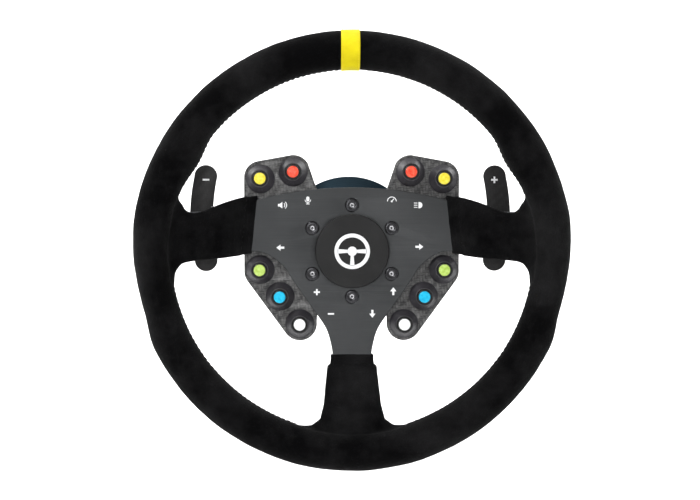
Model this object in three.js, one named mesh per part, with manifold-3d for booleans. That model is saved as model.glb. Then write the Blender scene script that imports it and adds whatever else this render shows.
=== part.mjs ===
// Quick release steering wheel: a suede three-spoke wheel, its button plate, shift paddles and
// the quick release that joins it to the steering column.
// Millimetres. The steering axis is Y, the driver sits on the -Y side, +Z is up.
// y = 0 is the face of the column boss that meets the column.

import * as THREE from 'three';
import { mergeVertices } from 'three/addons/utils/BufferGeometryUtils.js';
import Module from 'manifold-3d';

const wasm = await Module();
wasm.setup();

// ---- Driving dimensions ------------------------------------------------------------------

const GAP = 0.3;
// Y planes well clear of the hub stack on both sides, for holes that go right through it.
const THROUGH_BACK = -90;
const THROUGH_FRONT = -130;

// Rim: an oval section swept round the axis.
const RIM_R = 150.75;
const RIM_Y = -138;
const RIM_HALF_WIDTH = 14.65;
const RIM_HALF_DEPTH = 16;
const RIM_SEGMENTS = 60;
const RIM_SECTION_POINTS = 10;
const COVER_THICKNESS = 1.5;
const THUMB_ANGLE = 60;
const THUMB_SPREAD = 11;
const THUMB_DEPTH = 3.3;
const DIP_START = 78;
const DIP_DEEPEST = 106;
const DIP_END = 116;
const DIP_DEPTH = 3.1;
const MARKER_X = -1.8;
const MARKER_WIDTH = 14;
const MARKER_PROUD = 0.9;

// Aluminium frame: plate, three dished arms and the ring inside the rim.
const PLATE_BACK = -116;
const PLATE_FRONT = -120;
const PLATE_TOP = 48.5;
const PLATE_TOP_ARC = 280;
const PLATE_ROOT_X = 80;
const PLATE_BORE = 25;
const RING_HALF_WIDTH = 5;
const ARM_SLOPE_START_SIDE = 82;
const ARM_SLOPE_START_BOTTOM = 88;
const ARM_SLOPE_END = 142;
const ARM_REACH = 150;
const ARM_ROOT = 30;
const ARM_SPAN = 200;
const SLOT_EXTENSION = 12;
const SLEEVE_BACK = -114.3;
const SLEEVE_FRONT = -121.9;

// Hub bolts and the layers they clamp.
const BOLT_CIRCLE = 35;
const BOLT_COUNT = 6;
const BOLT_RADIUS = 2.5;
const BOLT_HOLE = 2.8;
const BOLT_HEAD = 4.85;
const BOLT_END = -105;
const COUNTERSINK_RADIUS = 5.3;
const COUNTERSINK_END = -117.3;
const SOCKET_RADIUS = 1.75;
const SOCKET_DEPTH = 2.2;
const SPACER_RADIUS = 42;
const SPACER_BORE = 26;
const CAP_RADIUS = 28.4;
const CAP_FACE = -125.6;
const CAP_FLAT_RADIUS = 27.6;
const CAP_SKIRT = [22.4, 24.6];
const CAP_SKIRT_BACK = -116.6;
const CAP_INSIDE = -122.4;

// Button plate and the sealed push buttons standing on it.
const BUTTON_PLATE_BACK = -111;
const BUTTON_PLATE_FRONT = -113.6;
const UPPER_CORNER = { x: 70, z: 56.3, radius: 12.6 };
const WING_END = { x: 45, z: 60.3, radius: 13.2 };
const LOWER_CORNER = { x: 70.4, z: -16, radius: 12.2 };
const LOWER_END = { x: 40, z: -56, radius: 13.2 };
const BARREL_RADIUS = 7;
const BEZEL_RADIUS = 11;
const BEZEL_TOP_RADIUS = 6.75;
const BEZEL_BASE = BUTTON_PLATE_FRONT - GAP;
const BEZEL_TOP = BEZEL_BASE - 9;
const BARREL_END = -107.5;
const CAP_CLEAR_BORE = 5.75;
const BARREL_FLOOR = -109.3;
const PLUNGER_RADIUS = 5.3;
const PLUNGER_BACK = -112.4;
const LENS_RADIUS = 4.4;
const LENS_PROUD = 3;
const BEZEL_EDGE = 0.8;
const PLUNGER_DROP = 0.7;
const LENS_FOOT = 1.2;
const BUTTONS = [
  { colour: 'yellow', x: 70, z: 55.2, tint: 0xf2e63c },
  { colour: 'red', x: 45, z: 60.3, tint: 0xf03c28 },
  { colour: 'green', x: 70.4, z: -14.5, tint: 0x9fd24a },
  { colour: 'blue', x: 55.2, z: -35, tint: 0x06b4e6 },
  { colour: 'white', x: 40, z: -56, tint: 0xf4f6f6 },
];

// Rear housing and circuit board.
const HOUSING_BACK = -97;
const HOUSING_FRONT = -110.7;
const HOUSING_WALL = 2;
const HOUSING_CUTOUT = 40.8;
const BOARD_BACK = -103;
const BOARD_FRONT = -104.6;
const BOARD_CLEARANCE = 0.4;

// Shift paddles.
const BLOCK_INNER = 80.1;
const BLOCK_OUTER = 109;
const BLOCK_BOTTOM = 10;
const BLOCK_TOP = 34;
const BLOCK_BACK = -86.5;
const BLOCK_FRONT = -103;
const BLOCK_CHAMFER = 3;
const EAR_THICKNESS = 4;
const EAR_RADIUS = 3.6;
const PIVOT_X = 86;
const PIVOT_Y = -82;
const PIN_RADIUS = 1.5;
const PIN_HOLE = 1.6;
const MAGNET_X = 100;
const MAGNET_RADIUS = 4;
const MAGNET_DEPTH = 3.1;
const ARM_EYE_RADIUS = 3.2;
const ARM_TIP_X = 122;
const ARM_BACK = -78;
const ARM_THICKNESS = 6.5;
const BLADE_WIDTH = 18.3;
const BLADE_END_X = 114.8;
const BLADE_BULGE = 3.5;
const BLADE_LOW = -17.7;
const BLADE_HIGH = 66.7;
const BLADE_BACK = -75.7;
const BLADE_THICKNESS = 2;

// Quick release.
const TURNED_SEGMENTS = 30;
const FLANGE_RADIUS = 59;
const FLANGE_BACK = -9;
const FLANGE_FRONT = -20;
const FLANGE_HOLE_CIRCLE = 50;
const FLANGE_HOLE_COUNT = 6;
const FLANGE_HOLE = 2.6;
const BOSS_RADIUS = 22;
const COLUMN_BORE = 9.5;
const NECK_ROOT = { radius: 30, front: -23.5 };
const NECK_STEP = { radius: 33.5, back: -24.5, front: -28.3 };
const NECK_TOP = { radius: 35.5, back: -29.6, front: -33.2 };
const CORE_RADIUS = 26;
const CORE_BORE = 21.3;
const CORE_END = -64;
const CORE_FLOOR = -31;
const SOCKET_SEAT_RADIUS = 15;
const SOCKET_SEAT_FLOOR = -24;
const KEYWAY_WIDTH = 4;
const KEYWAY_LENGTH = 14.5;
const BALL_RADIUS = 3;
const BALL_COUNT = 6;
const BALL_CENTRE = 24.15;
const BALL_Y = -44;
const COLLAR_RADIUS = 37.5;
const COLLAR_BACK = -33.5;
const COLLAR_DISC = 40;
const COLLAR_DISC_BACK = -59.9;
const COLLAR_SHOULDER = -49.5;
const COLLAR_MOUTH = 32.5;
const COLLAR_LAND = 26.3;
const COLLAR_RELIEF = 27.6;
const COLLAR_TRAVEL = 5;
const SPRING_RADIUS = 29.3;
const SPRING_WIRE = 0.8;
const SPRING_TURNS = 3;
const SPRING_BACK = -50.7;
const SPRING_LENGTH = 8.4;
const SNAP_RING_INNER = 24.9;
const SNAP_RING_OUTER = 31;
const SNAP_RING_BACK = -60.3;
const SNAP_RING_FRONT = -61.7;
const SNAP_GROOVE = { radius: 24.6, back: -60, front: -62 };
const SPIGOT_RADIUS = 21;
const SPIGOT_END = -33;
const SPIGOT_BORE = 15.5;
const SPIGOT_FLANGE = 40;
const SPIGOT_FLANGE_BACK = -104.7;
const SPIGOT_FLANGE_FRONT = -110.7;
const SPIGOT_ROOT = { radius: 25, back: -101 };
const BALL_GROOVE = { radius: 20, floor: 2.6, mouth: 3.6 };
const O_RING_Y = -58;
const O_RING_CENTRE = 20.5;
const O_RING_RADIUS = 0.75;
const O_RING_GROOVE = { radius: 19.3, half: 1.3 };
const KEY_COUNT = 6;
const KEY_OUTER = 22.3;
const KEY_FOOT = 18;
const KEY_WIDTH = 3.4;
const KEY_LENGTH = 5.5;
const KEY_Y = -52.7;
const PLUG = { back: -33.5, radius: 15.2, shoulder: -46, stem: 6, front: -52 };
const CONTACT_SOCKET = { back: -24.3, radius: 14.6, front: -32.6 };

// ---- Solids from three.js shapes -----------------------------------------------------------

// A closed three.js geometry as a solid, turned to face outward.
function solidOf(geometry) {
  const bare = geometry.clone();
  bare.deleteAttribute('normal');
  bare.deleteAttribute('uv');
  const merged = mergeVertices(bare, 1e-4);
  const vertices = Float32Array.from(merged.attributes.position.array);
  const corners = merged.index.array;
  const faces = [];
  for (let i = 0; i < corners.length; i += 3) {
    const [a, b, c] = [corners[i], corners[i + 1], corners[i + 2]];
    if (a !== b && b !== c && c !== a) faces.push([a, b, c]);
  }
  const at = (k) => new THREE.Vector3().fromArray(vertices, k * 3);
  let volume = 0;
  for (const [a, b, c] of faces) {
    volume += at(a).dot(at(b).cross(at(c)));
  }
  const order = faces.map(([a, b, c]) => (volume < 0 ? [a, c, b] : [a, b, c]));
  const mesh = new wasm.Mesh({
    numProp: 3,
    vertProperties: vertices,
    triVerts: Uint32Array.from(order.flat()),
  });
  return new wasm.Manifold(mesh);
}

const planeShape = (points) => new THREE.Shape(points.map(([u, v]) => new THREE.Vector2(u, v)));

// An outline in x and z, extruded along the steering axis between two y planes.
function layer(points, back, front) {
  const flat = { depth: back - front, bevelEnabled: false, curveSegments: 1 };
  const geometry = new THREE.ExtrudeGeometry(planeShape(points), flat);
  geometry.rotateX(Math.PI / 2);
  geometry.translate(0, back, 0);
  return solidOf(geometry);
}

// An outline in x and y, extruded up the z axis between two heights.
function upright(points, low, high) {
  const flat = { depth: high - low, bevelEnabled: false, curveSegments: 1 };
  const geometry = new THREE.ExtrudeGeometry(planeShape(points), flat);
  geometry.translate(0, 0, low);
  return solidOf(geometry);
}

// A profile of [radius, y] points turned about the steering axis.
function turnedGeometry(profile, segments) {
  return new THREE.LatheGeometry(profile.map(([r, y]) => new THREE.Vector2(r, y)), segments);
}

function turned(profile, segments = TURNED_SEGMENTS) {
  return solidOf(turnedGeometry([...profile, profile[0]], segments));
}

// The same, turned about an axis parallel to Y through (x, z). The profile meets its axis.
function turnedAt(profile, x, z, segments) {
  const geometry = turnedGeometry(profile, segments);
  geometry.translate(x, 0, z);
  return solidOf(geometry);
}

function rodY(x, z, radius, back, front, segments = 12) {
  return turnedAt([[0, back], [radius, back], [radius, front], [0, front]], x, z, segments);
}

function rodZ(x, y, radius, low, high, segments = 16) {
  const geometry = new THREE.CylinderGeometry(radius, radius, high - low, segments);
  geometry.rotateX(Math.PI / 2);
  geometry.translate(x, y, (low + high) / 2);
  return solidOf(geometry);
}

function block(x0, x1, y0, y1, z0, z1) {
  const geometry = new THREE.BoxGeometry(Math.abs(x1 - x0), Math.abs(y1 - y0), Math.abs(z1 - z0));
  geometry.translate((x0 + x1) / 2, (y0 + y1) / 2, (z0 + z1) / 2);
  return solidOf(geometry);
}

// Points on an arc, angles in degrees from +x towards +z.
function arc(x, z, radius, from, to, steps) {
  const points = [];
  for (let i = 0; i <= steps; i += 1) {
    const a = THREE.MathUtils.degToRad(from + ((to - from) * i) / steps);
    points.push([x + radius * Math.cos(a), z + radius * Math.sin(a)]);
  }
  return points;
}

// A counter-clockwise outline moved inward by a distance.
function inset(points, distance) {
  return points.map(([bx, bz], i) => {
    const [ax, az] = points[(i + points.length - 1) % points.length];
    const [cx, cz] = points[(i + 1) % points.length];
    const into = new THREE.Vector2(az - bz, bx - ax).normalize();
    const out = new THREE.Vector2(bz - cz, cx - bx).normalize();
    const reach = distance / (1 + into.dot(out));
    return [bx + reach * (into.x + out.x), bz + reach * (into.y + out.y)];
  });
}

const mirrored = (points) => points.map(([x, z]) => [-x, z]).reverse();

// Points evenly spaced on the bolt circle, the first at the top.
function spaced(count, radius, offset = 0) {
  return Array.from({ length: count }, (_, i) => {
    const a = ((i + offset) * 2 * Math.PI) / count;
    return [radius * Math.sin(a), radius * Math.cos(a), a];
  });
}

const drilled = (solid, holes) => holes.reduce((rest, hole) => rest.subtract(hole), solid);
const joined = (solids) => solids.reduce((sum, solid) => sum.add(solid));

// ---- Named pieces --------------------------------------------------------------------------

const FINISHES = {
  suede: { color: 0x151517, roughness: 0.95, metalness: 0 },
  foam: { color: 0x2a2a2c, roughness: 0.9, metalness: 0 },
  marker: { color: 0xf2e200, roughness: 0.7, metalness: 0 },
  anodised: { color: 0x4c4d50, roughness: 0.42, metalness: 1 },
  blued: { color: 0x3c4a52, roughness: 0.35, metalness: 1 },
  steel: { color: 0x8c9096, roughness: 0.3, metalness: 1 },
  blackSteel: { color: 0x1c1c1f, roughness: 0.4, metalness: 1 },
  carbon: { color: 0x333437, roughness: 0.45, metalness: 0 },
  plastic: { color: 0x1b1c1e, roughness: 0.5, metalness: 0 },
  board: { color: 0x14532f, roughness: 0.5, metalness: 0 },
  rubber: { color: 0x101011, roughness: 0.8, metalness: 0 },
};

const group = new THREE.Group();
group.name = 'quick_release_steering_wheel';

function place(name, solid, finish) {
  const out = solid.getMesh();
  const geometry = new THREE.BufferGeometry();
  geometry.setAttribute('position', new THREE.BufferAttribute(out.vertProperties, 3));
  geometry.setIndex(new THREE.BufferAttribute(out.triVerts, 1));
  geometry.computeVertexNormals();
  const mesh = new THREE.Mesh(geometry, new THREE.MeshStandardMaterial(finish));
  mesh.name = name;
  group.add(mesh);
}

// ---- Rim -----------------------------------------------------------------------------------

const smooth = (t) => THREE.MathUtils.smoothstep(t, 0, 1);

// The thumb bump on the inside and the shallow dip on the outside, by angle from the top.
function thumbBump(degrees) {
  const away = Math.abs(degrees - THUMB_ANGLE) / THUMB_SPREAD;
  return THUMB_DEPTH * smooth(1 - Math.min(away, 1));
}

function outerDip(degrees) {
  if (degrees < DIP_DEEPEST) {
    return DIP_DEPTH * smooth((degrees - DIP_START) / (DIP_DEEPEST - DIP_START));
  }
  return DIP_DEPTH * smooth((DIP_END - degrees) / (DIP_END - DIP_DEEPEST));
}

// The rim's solid, grown or shrunk from its surface by an offset.
function rimSolid(offset) {
  const width = RIM_HALF_WIDTH + offset;
  const depth = RIM_HALF_DEPTH + offset;
  const section = Array.from({ length: RIM_SECTION_POINTS }, (_, i) => {
    const a = (i * 2 * Math.PI) / RIM_SECTION_POINTS;
    return [RIM_R + width * Math.cos(a), RIM_Y + depth * Math.sin(a)];
  });
  const geometry = turnedGeometry([...section, section[0]], RIM_SEGMENTS);
  const at = geometry.attributes.position;
  for (let i = 0; i < at.count; i += 1) {
    const r = Math.hypot(at.getX(i), at.getZ(i));
    const angle = THREE.MathUtils.radToDeg(Math.atan2(Math.abs(at.getX(i)), at.getZ(i)));
    const side = (r - RIM_R) / width;
    const shift = side < 0 ? side * thumbBump(angle) : -side * outerDip(angle);
    const k = (r + shift) / r;
    at.setX(i, at.getX(i) * k);
    at.setZ(i, at.getZ(i) * k);
  }
  return solidOf(geometry);
}

// ---- Arms ----------------------------------------------------------------------------------

// The right arm seen from the driver, widening into the rim with a fillet at each edge.
const SIDE_ARM = [
  [71, 43.2], [76, -2.6], [91.4, -4.5], [99.1, -5.4], [116.5, -6.7], [126.9, -8.4], [131, -12],
  [133.6, -17], [135.4, -25], [144, -34], [152, 0], [144, 46], [129.7, 37.8], [125.7, 32],
  [120.8, 29.4], [113.3, 30.6], [103.4, 34.7], [90.6, 39.3], [79.3, 41.9],
];

// The bottom arm: half the width of its upper end, then its left edge down into the rim.
const BOTTOM_ARM_TOP = [16.9, -78.3];
const BOTTOM_ARM_EDGE = [
  [-19.1, -88], [-20.5, -102], [-21.9, -116], [-24.7, -127], [-31, -131.4], [-40, -133],
  [-44, -143], [-24, -149],
];

const bottomArm = [
  BOTTOM_ARM_TOP,
  ...mirrored([BOTTOM_ARM_TOP]),
  ...BOTTOM_ARM_EDGE,
  [0, -152],
  ...mirrored(BOTTOM_ARM_EDGE),
];

// Both arm outlines start with the two corners of the open end. This carries that end further in.
function stretched([first, second, ...rest], by) {
  const beyond = ([ax, az], [bx, bz]) => {
    const k = by / Math.hypot(bx - ax, bz - az);
    return [bx + k * (bx - ax), bz + k * (bz - az)];
  };
  return [beyond(rest.at(-1), first), beyond(rest[0], second), ...rest];
}

// The slab an arm is cut from: flat at the plate, then sloping towards the driver.
function armSlab(slopeStart, back, front) {
  const dish = RIM_Y - (PLATE_BACK + PLATE_FRONT) / 2;
  const profile = [
    [ARM_ROOT, back], [slopeStart, back], [ARM_SLOPE_END, back + dish], [ARM_REACH, back + dish],
    [ARM_REACH, front + dish], [ARM_SLOPE_END, front + dish], [slopeStart, front], [ARM_ROOT, front],
  ];
  const flat = { depth: ARM_SPAN, bevelEnabled: false, curveSegments: 1 };
  const geometry = new THREE.ExtrudeGeometry(planeShape(profile), flat);
  geometry.translate(0, 0, -ARM_SPAN / 2);
  return geometry;
}

// All three arms, moved in from the sleeve's outline and stretched past their open ends.
function arms(distance, extend, back, front) {
  const deep = [0, -ARM_SPAN];
  const side = inset(stretched(SIDE_ARM, extend), distance);
  const bottom = inset(stretched(bottomArm, extend), distance);
  const right = solidOf(armSlab(ARM_SLOPE_START_SIDE, back, front));
  const left = solidOf(armSlab(ARM_SLOPE_START_SIDE, back, front).rotateY(Math.PI));
  const down = solidOf(armSlab(ARM_SLOPE_START_BOTTOM, back, front).rotateY(Math.PI / 2));
  return joined([
    right.intersect(layer(side, ...deep)),
    left.intersect(layer(mirrored(side), ...deep)),
    down.intersect(layer(bottom, ...deep)),
  ]);
}

const ringBand = (grow) => turned([
  [RIM_R - RING_HALF_WIDTH - grow, RIM_Y + 2 + grow],
  [RIM_R + RING_HALF_WIDTH + grow, RIM_Y + 2 + grow],
  [RIM_R + RING_HALF_WIDTH + grow, RIM_Y - 2 - grow],
  [RIM_R - RING_HALF_WIDTH - grow, RIM_Y - 2 - grow],
], RIM_SEGMENTS);

const coverOuter = rimSolid(0).add(arms(0, 0, SLEEVE_BACK, SLEEVE_FRONT));
const armSlots = arms(COVER_THICKNESS, SLOT_EXTENSION, PLATE_BACK + GAP, PLATE_FRONT - GAP);
const rimInside = rimSolid(-COVER_THICKNESS);
const coverInner = rimInside.add(armSlots);
place('rim_cover', coverOuter.subtract(coverInner), FINISHES.suede);
place(
  'rim_core',
  rimSolid(-COVER_THICKNESS - GAP).subtract(armSlots).subtract(ringBand(GAP)),
  FINISHES.foam,
);

const markerShell = rimSolid(MARKER_PROUD).subtract(rimSolid(GAP));
place(
  'centre_marker',
  markerShell.intersect(block(
    MARKER_X - MARKER_WIDTH / 2,
    MARKER_X + MARKER_WIDTH / 2,
    RIM_Y - RIM_R,
    RIM_Y + RIM_R,
    RIM_R / 2,
    2 * RIM_R,
  )),
  FINISHES.marker,
);

// ---- Aluminium frame -----------------------------------------------------------------------

const topArcAt = (x) => PLATE_TOP - PLATE_TOP_ARC + Math.sqrt(PLATE_TOP_ARC ** 2 - x ** 2);

// The right edge of the plate, from the arm's lower corner down to the bottom arm.
const PLATE_EDGE = [
  [PLATE_ROOT_X, -0.3], [74.5, -0.2], [68.7, -0.8], [62.3, -3.7], [56, -8.2], [50.6, -13.5],
  [44.8, -22.8], [28.2, -46.7], [22.9, -54.2], [19.4, -60.4], [17.1, -67.4], [15.1, -77.1],
  [15.1, -81],
];
const PLATE_TOP_STATIONS = [80, 60, 40, 20, 0, -20, -40, -60, -80];
const plateOutline = [
  ...PLATE_TOP_STATIONS.map((x) => [x, topArcAt(x)]),
  ...PLATE_EDGE.map(([x, z]) => [-x, z]),
  ...PLATE_EDGE.toReversed(),
];

const boltSpots = spaced(BOLT_COUNT, BOLT_CIRCLE);
const countersink = [
  [0, THROUGH_FRONT], [COUNTERSINK_RADIUS, THROUGH_FRONT], [COUNTERSINK_RADIUS, PLATE_FRONT],
  [BOLT_HOLE, COUNTERSINK_END], [BOLT_HOLE, THROUGH_BACK], [0, THROUGH_BACK],
];
const frame = joined([
  layer(plateOutline, PLATE_BACK, PLATE_FRONT),
  arms(COVER_THICKNESS + GAP, 0, PLATE_BACK, PLATE_FRONT),
  ringBand(0),
]);
place('wheel_frame', drilled(frame, [
  rodY(0, 0, PLATE_BORE, THROUGH_BACK, THROUGH_FRONT, TURNED_SEGMENTS),
  ...boltSpots.map(([x, z]) => turnedAt(countersink, x, z, 12)),
]), FINISHES.anodised);

// ---- Hub bolts, spacer and centre cap --------------------------------------------------------

boltSpots.forEach(([x, z], i) => {
  const head = PLATE_FRONT + 0.2;
  const profile = [
    [0, head], [BOLT_HEAD, head], [BOLT_RADIUS, COUNTERSINK_END], [BOLT_RADIUS, BOLT_END],
    [0, BOLT_END],
  ];
  const socket = new THREE.CylinderGeometry(SOCKET_RADIUS, SOCKET_RADIUS, 2 * SOCKET_DEPTH, 6);
  socket.translate(x, head, z);
  place(
    `hub_bolt_${i + 1}`,
    turnedAt(profile, x, z, 12).subtract(solidOf(socket)),
    FINISHES.blackSteel,
  );
});

const boltHoles = boltSpots
  .map(([x, z]) => rodY(x, z, BOLT_HOLE, THROUGH_BACK, THROUGH_FRONT, 10));
const spacerBack = BUTTON_PLATE_FRONT - GAP;
const spacerFront = PLATE_BACK + GAP;
place('spacer_ring', drilled(turned([
  [SPACER_BORE, spacerBack], [SPACER_RADIUS, spacerBack],
  [SPACER_RADIUS, spacerFront], [SPACER_BORE, spacerFront],
]), boltHoles), FINISHES.anodised);

place('centre_cap', turnedAt([
  [0, CAP_FACE], [CAP_FLAT_RADIUS, CAP_FACE], [CAP_RADIUS, CAP_FACE + 0.8],
  [CAP_RADIUS, PLATE_FRONT - GAP], [CAP_SKIRT[1], PLATE_FRONT - GAP],
  [CAP_SKIRT[1], CAP_SKIRT_BACK], [CAP_SKIRT[0], CAP_SKIRT_BACK],
  [CAP_SKIRT[0], CAP_INSIDE], [0, CAP_INSIDE],
], 0, 0, TURNED_SEGMENTS), FINISHES.plastic);

// ---- Button plate ----------------------------------------------------------------------------

// The four wings and the middle that the hub bolts clamp, drawn on the right and mirrored.
const upperWing = [
  [24, 20], [UPPER_CORNER.x + UPPER_CORNER.radius, 20],
  ...arc(UPPER_CORNER.x, UPPER_CORNER.z, UPPER_CORNER.radius, 0, 78, 5),
  ...arc(WING_END.x, WING_END.z, WING_END.radius, 85, 150, 4),
  [26, 48],
];
const lowerWing = [
  [LOWER_CORNER.x + LOWER_CORNER.radius, 20], [24, 20], [15, -30], [26.6, -48],
  ...arc(LOWER_END.x, LOWER_END.z, LOWER_END.radius, 175, 324, 9),
  ...arc(LOWER_CORNER.x, LOWER_CORNER.z, LOWER_CORNER.radius, 324, 360, 3),
];
const middle = inset(plateOutline, 2.5);
const buttonSpots = BUTTONS.flatMap(({ colour, x, z, tint }) => [
  { name: `${colour}_left`, x: -x, z, tint },
  { name: `${colour}_right`, x, z, tint },
]);
const buttonPlate = joined([
  ...[upperWing, mirrored(upperWing), lowerWing, mirrored(lowerWing), middle]
    .map((outline) => layer(outline, BUTTON_PLATE_BACK, BUTTON_PLATE_FRONT)),
]);
place('button_plate', drilled(buttonPlate, [
  rodY(0, 0, SPIGOT_BORE, THROUGH_BACK, THROUGH_FRONT, 20),
  ...boltHoles,
  ...buttonSpots
    .map(({ x, z }) => rodY(x, z, BARREL_RADIUS + GAP, THROUGH_BACK, THROUGH_FRONT, 12)),
]), FINISHES.carbon);

for (const { name, x, z, tint } of buttonSpots) {
  place(`button_bezel_${name}`, turnedAt([
    [0, BARREL_END], [BARREL_RADIUS, BARREL_END], [BARREL_RADIUS, BEZEL_BASE],
    [BEZEL_RADIUS, BEZEL_BASE], [BEZEL_RADIUS, BEZEL_BASE - BEZEL_EDGE],
    [BEZEL_TOP_RADIUS, BEZEL_TOP], [CAP_CLEAR_BORE, BEZEL_TOP], [CAP_CLEAR_BORE, BARREL_FLOOR],
    [0, BARREL_FLOOR],
  ], x, z, 12), FINISHES.plastic);
  place(`button_cap_${name}`, turnedAt([
    [0, PLUNGER_BACK], [PLUNGER_RADIUS, PLUNGER_BACK], [PLUNGER_RADIUS, BEZEL_TOP - PLUNGER_DROP],
    [LENS_RADIUS, BEZEL_TOP - LENS_FOOT], [LENS_RADIUS, BEZEL_TOP - LENS_PROUD],
    [0, BEZEL_TOP - LENS_PROUD],
  ], x, z, 12), { color: tint, roughness: 0.4, metalness: 0 });
}

// ---- Rear housing ----------------------------------------------------------------------------

const HOUSING_HALF = [
  [72, -27], [79.8, -20], [79.8, 59.5], [74, 65.8], [60, 68.2], [40, 70.3], [36, 66], [30, 47.2],
];
const housingOutline = [...HOUSING_HALF, ...mirrored(HOUSING_HALF)];
const hubRoom = (radius) => rodY(0, 0, radius, THROUGH_BACK, THROUGH_FRONT, TURNED_SEGMENTS);
const housingShell = layer(housingOutline, HOUSING_BACK, HOUSING_FRONT)
  .subtract(hubRoom(HOUSING_CUTOUT));
const housingRoom = layer(
  inset(housingOutline, HOUSING_WALL),
  HOUSING_BACK - HOUSING_WALL,
  THROUGH_FRONT,
).subtract(hubRoom(HOUSING_CUTOUT + HOUSING_WALL));
place('rear_housing', housingShell.subtract(housingRoom), FINISHES.plastic);
place(
  'circuit_board',
  layer(inset(housingOutline, HOUSING_WALL + BOARD_CLEARANCE), BOARD_BACK, BOARD_FRONT)
    .subtract(hubRoom(HOUSING_CUTOUT + HOUSING_WALL + BOARD_CLEARANCE)),
  FINISHES.board,
);

// ---- Shift paddles -----------------------------------------------------------------------------

// A blade bowed outward in the middle, with round ends.
function bladeOutline(side) {
  const half = BLADE_WIDTH / 2;
  const low = BLADE_LOW + half;
  const high = BLADE_HIGH - half;
  const mid = (low + high) / 2;
  const bow = (z) => BLADE_END_X + BLADE_BULGE * (1 - ((z - mid) / (high - mid)) ** 2);
  const stations = [0.15, 0.3, 0.5, 0.7, 0.85];
  const outer = stations.map((t) => low + t * (high - low)).map((z) => [bow(z) + half, z]);
  const inner = stations.toReversed().map((t) => low + t * (high - low))
    .map((z) => [bow(z) - half, z]);
  const outline = [
    ...arc(BLADE_END_X, low, half, 180, 360, 8),
    ...outer,
    ...arc(BLADE_END_X, high, half, 0, 180, 8),
    ...inner,
  ];
  return side > 0 ? outline : mirrored(outline);
}

for (const [name, side] of [['left', -1], ['right', 1]]) {
  const across = (points) => (side > 0 ? points : mirrored(points));
  const ear = [
    ...arc(PIVOT_X, PIVOT_Y, EAR_RADIUS, 0, 180, 8), [PIVOT_X - EAR_RADIUS, BLOCK_BACK - 1],
    [PIVOT_X + EAR_RADIUS, BLOCK_BACK - 1],
  ];
  const body = [
    [BLOCK_INNER, BLOCK_FRONT], [BLOCK_OUTER - BLOCK_CHAMFER, BLOCK_FRONT],
    [BLOCK_OUTER, BLOCK_FRONT + BLOCK_CHAMFER],
    [BLOCK_OUTER, BLOCK_BACK], [BLOCK_INNER, BLOCK_BACK],
  ];
  const magnetAt = side * MAGNET_X;
  const middleZ = (BLOCK_BOTTOM + BLOCK_TOP) / 2;
  const pinHole = rodZ(side * PIVOT_X, PIVOT_Y, PIN_HOLE, BLOCK_BOTTOM - 1, BLOCK_TOP + 1, 12);
  place(`paddle_block_${name}`, drilled(joined([
    upright(across(body), BLOCK_BOTTOM, BLOCK_TOP),
    upright(across(ear), BLOCK_BOTTOM, BLOCK_BOTTOM + EAR_THICKNESS),
    upright(across(ear), BLOCK_TOP - EAR_THICKNESS, BLOCK_TOP),
  ]), [
    pinHole,
    rodY(magnetAt, middleZ, MAGNET_RADIUS + GAP, BLOCK_BACK + 1, BLOCK_BACK - MAGNET_DEPTH - GAP),
  ]), FINISHES.anodised);

  const armFront = ARM_BACK - ARM_THICKNESS;
  const bar = [
    ...arc(PIVOT_X, PIVOT_Y, ARM_EYE_RADIUS, 90, 270, 8), [PIVOT_X + 4, armFront],
    [ARM_TIP_X - 2, armFront], [ARM_TIP_X, armFront + 2], [ARM_TIP_X, ARM_BACK],
    [PIVOT_X + 2, ARM_BACK],
  ];
  place(`paddle_arm_${name}`, upright(
    across(bar),
    BLOCK_BOTTOM + EAR_THICKNESS + GAP,
    BLOCK_TOP - EAR_THICKNESS - GAP,
  ).subtract(pinHole), FINISHES.anodised);
  place(
    `paddle_blade_${name}`,
    layer(bladeOutline(side), BLADE_BACK, BLADE_BACK - BLADE_THICKNESS),
    FINISHES.carbon,
  );
  place(
    `paddle_pivot_pin_${name}`,
    rodZ(side * PIVOT_X, PIVOT_Y, PIN_RADIUS, BLOCK_BOTTOM + GAP, BLOCK_TOP - GAP, 12),
    FINISHES.steel,
  );
  place(
    `paddle_magnet_${name}`,
    rodY(magnetAt, middleZ, MAGNET_RADIUS, BLOCK_BACK - GAP, BLOCK_BACK - MAGNET_DEPTH),
    FINISHES.steel,
  );
}

// ---- Quick release, wheel side -----------------------------------------------------------------

const spigotTurned = turned([
  [SPIGOT_BORE, SPIGOT_END], [SPIGOT_RADIUS - 1, SPIGOT_END], [SPIGOT_RADIUS, SPIGOT_END - 1],
  [SPIGOT_RADIUS, BALL_Y + BALL_GROOVE.mouth], [BALL_GROOVE.radius, BALL_Y + BALL_GROOVE.floor],
  [BALL_GROOVE.radius, BALL_Y - BALL_GROOVE.floor], [SPIGOT_RADIUS, BALL_Y - BALL_GROOVE.mouth],
  [SPIGOT_RADIUS, O_RING_Y + O_RING_GROOVE.half],
  [O_RING_GROOVE.radius, O_RING_Y + O_RING_GROOVE.half],
  [O_RING_GROOVE.radius, O_RING_Y - O_RING_GROOVE.half],
  [SPIGOT_RADIUS, O_RING_Y - O_RING_GROOVE.half], [SPIGOT_RADIUS, SPIGOT_ROOT.back],
  [SPIGOT_ROOT.radius, SPIGOT_FLANGE_BACK], [SPIGOT_FLANGE, SPIGOT_FLANGE_BACK],
  [SPIGOT_FLANGE, SPIGOT_FLANGE_FRONT], [SPIGOT_BORE, SPIGOT_FLANGE_FRONT],
]);
const keys = spaced(KEY_COUNT, 1).map(([, , a]) => {
  const key = new THREE.BoxGeometry(KEY_WIDTH, KEY_LENGTH, KEY_OUTER - KEY_FOOT);
  key.translate(0, KEY_Y, (KEY_OUTER + KEY_FOOT) / 2);
  return solidOf(key.rotateY(a));
});
place('qr_spigot', drilled(joined([spigotTurned, ...keys]), boltHoles), FINISHES.blued);
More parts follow.
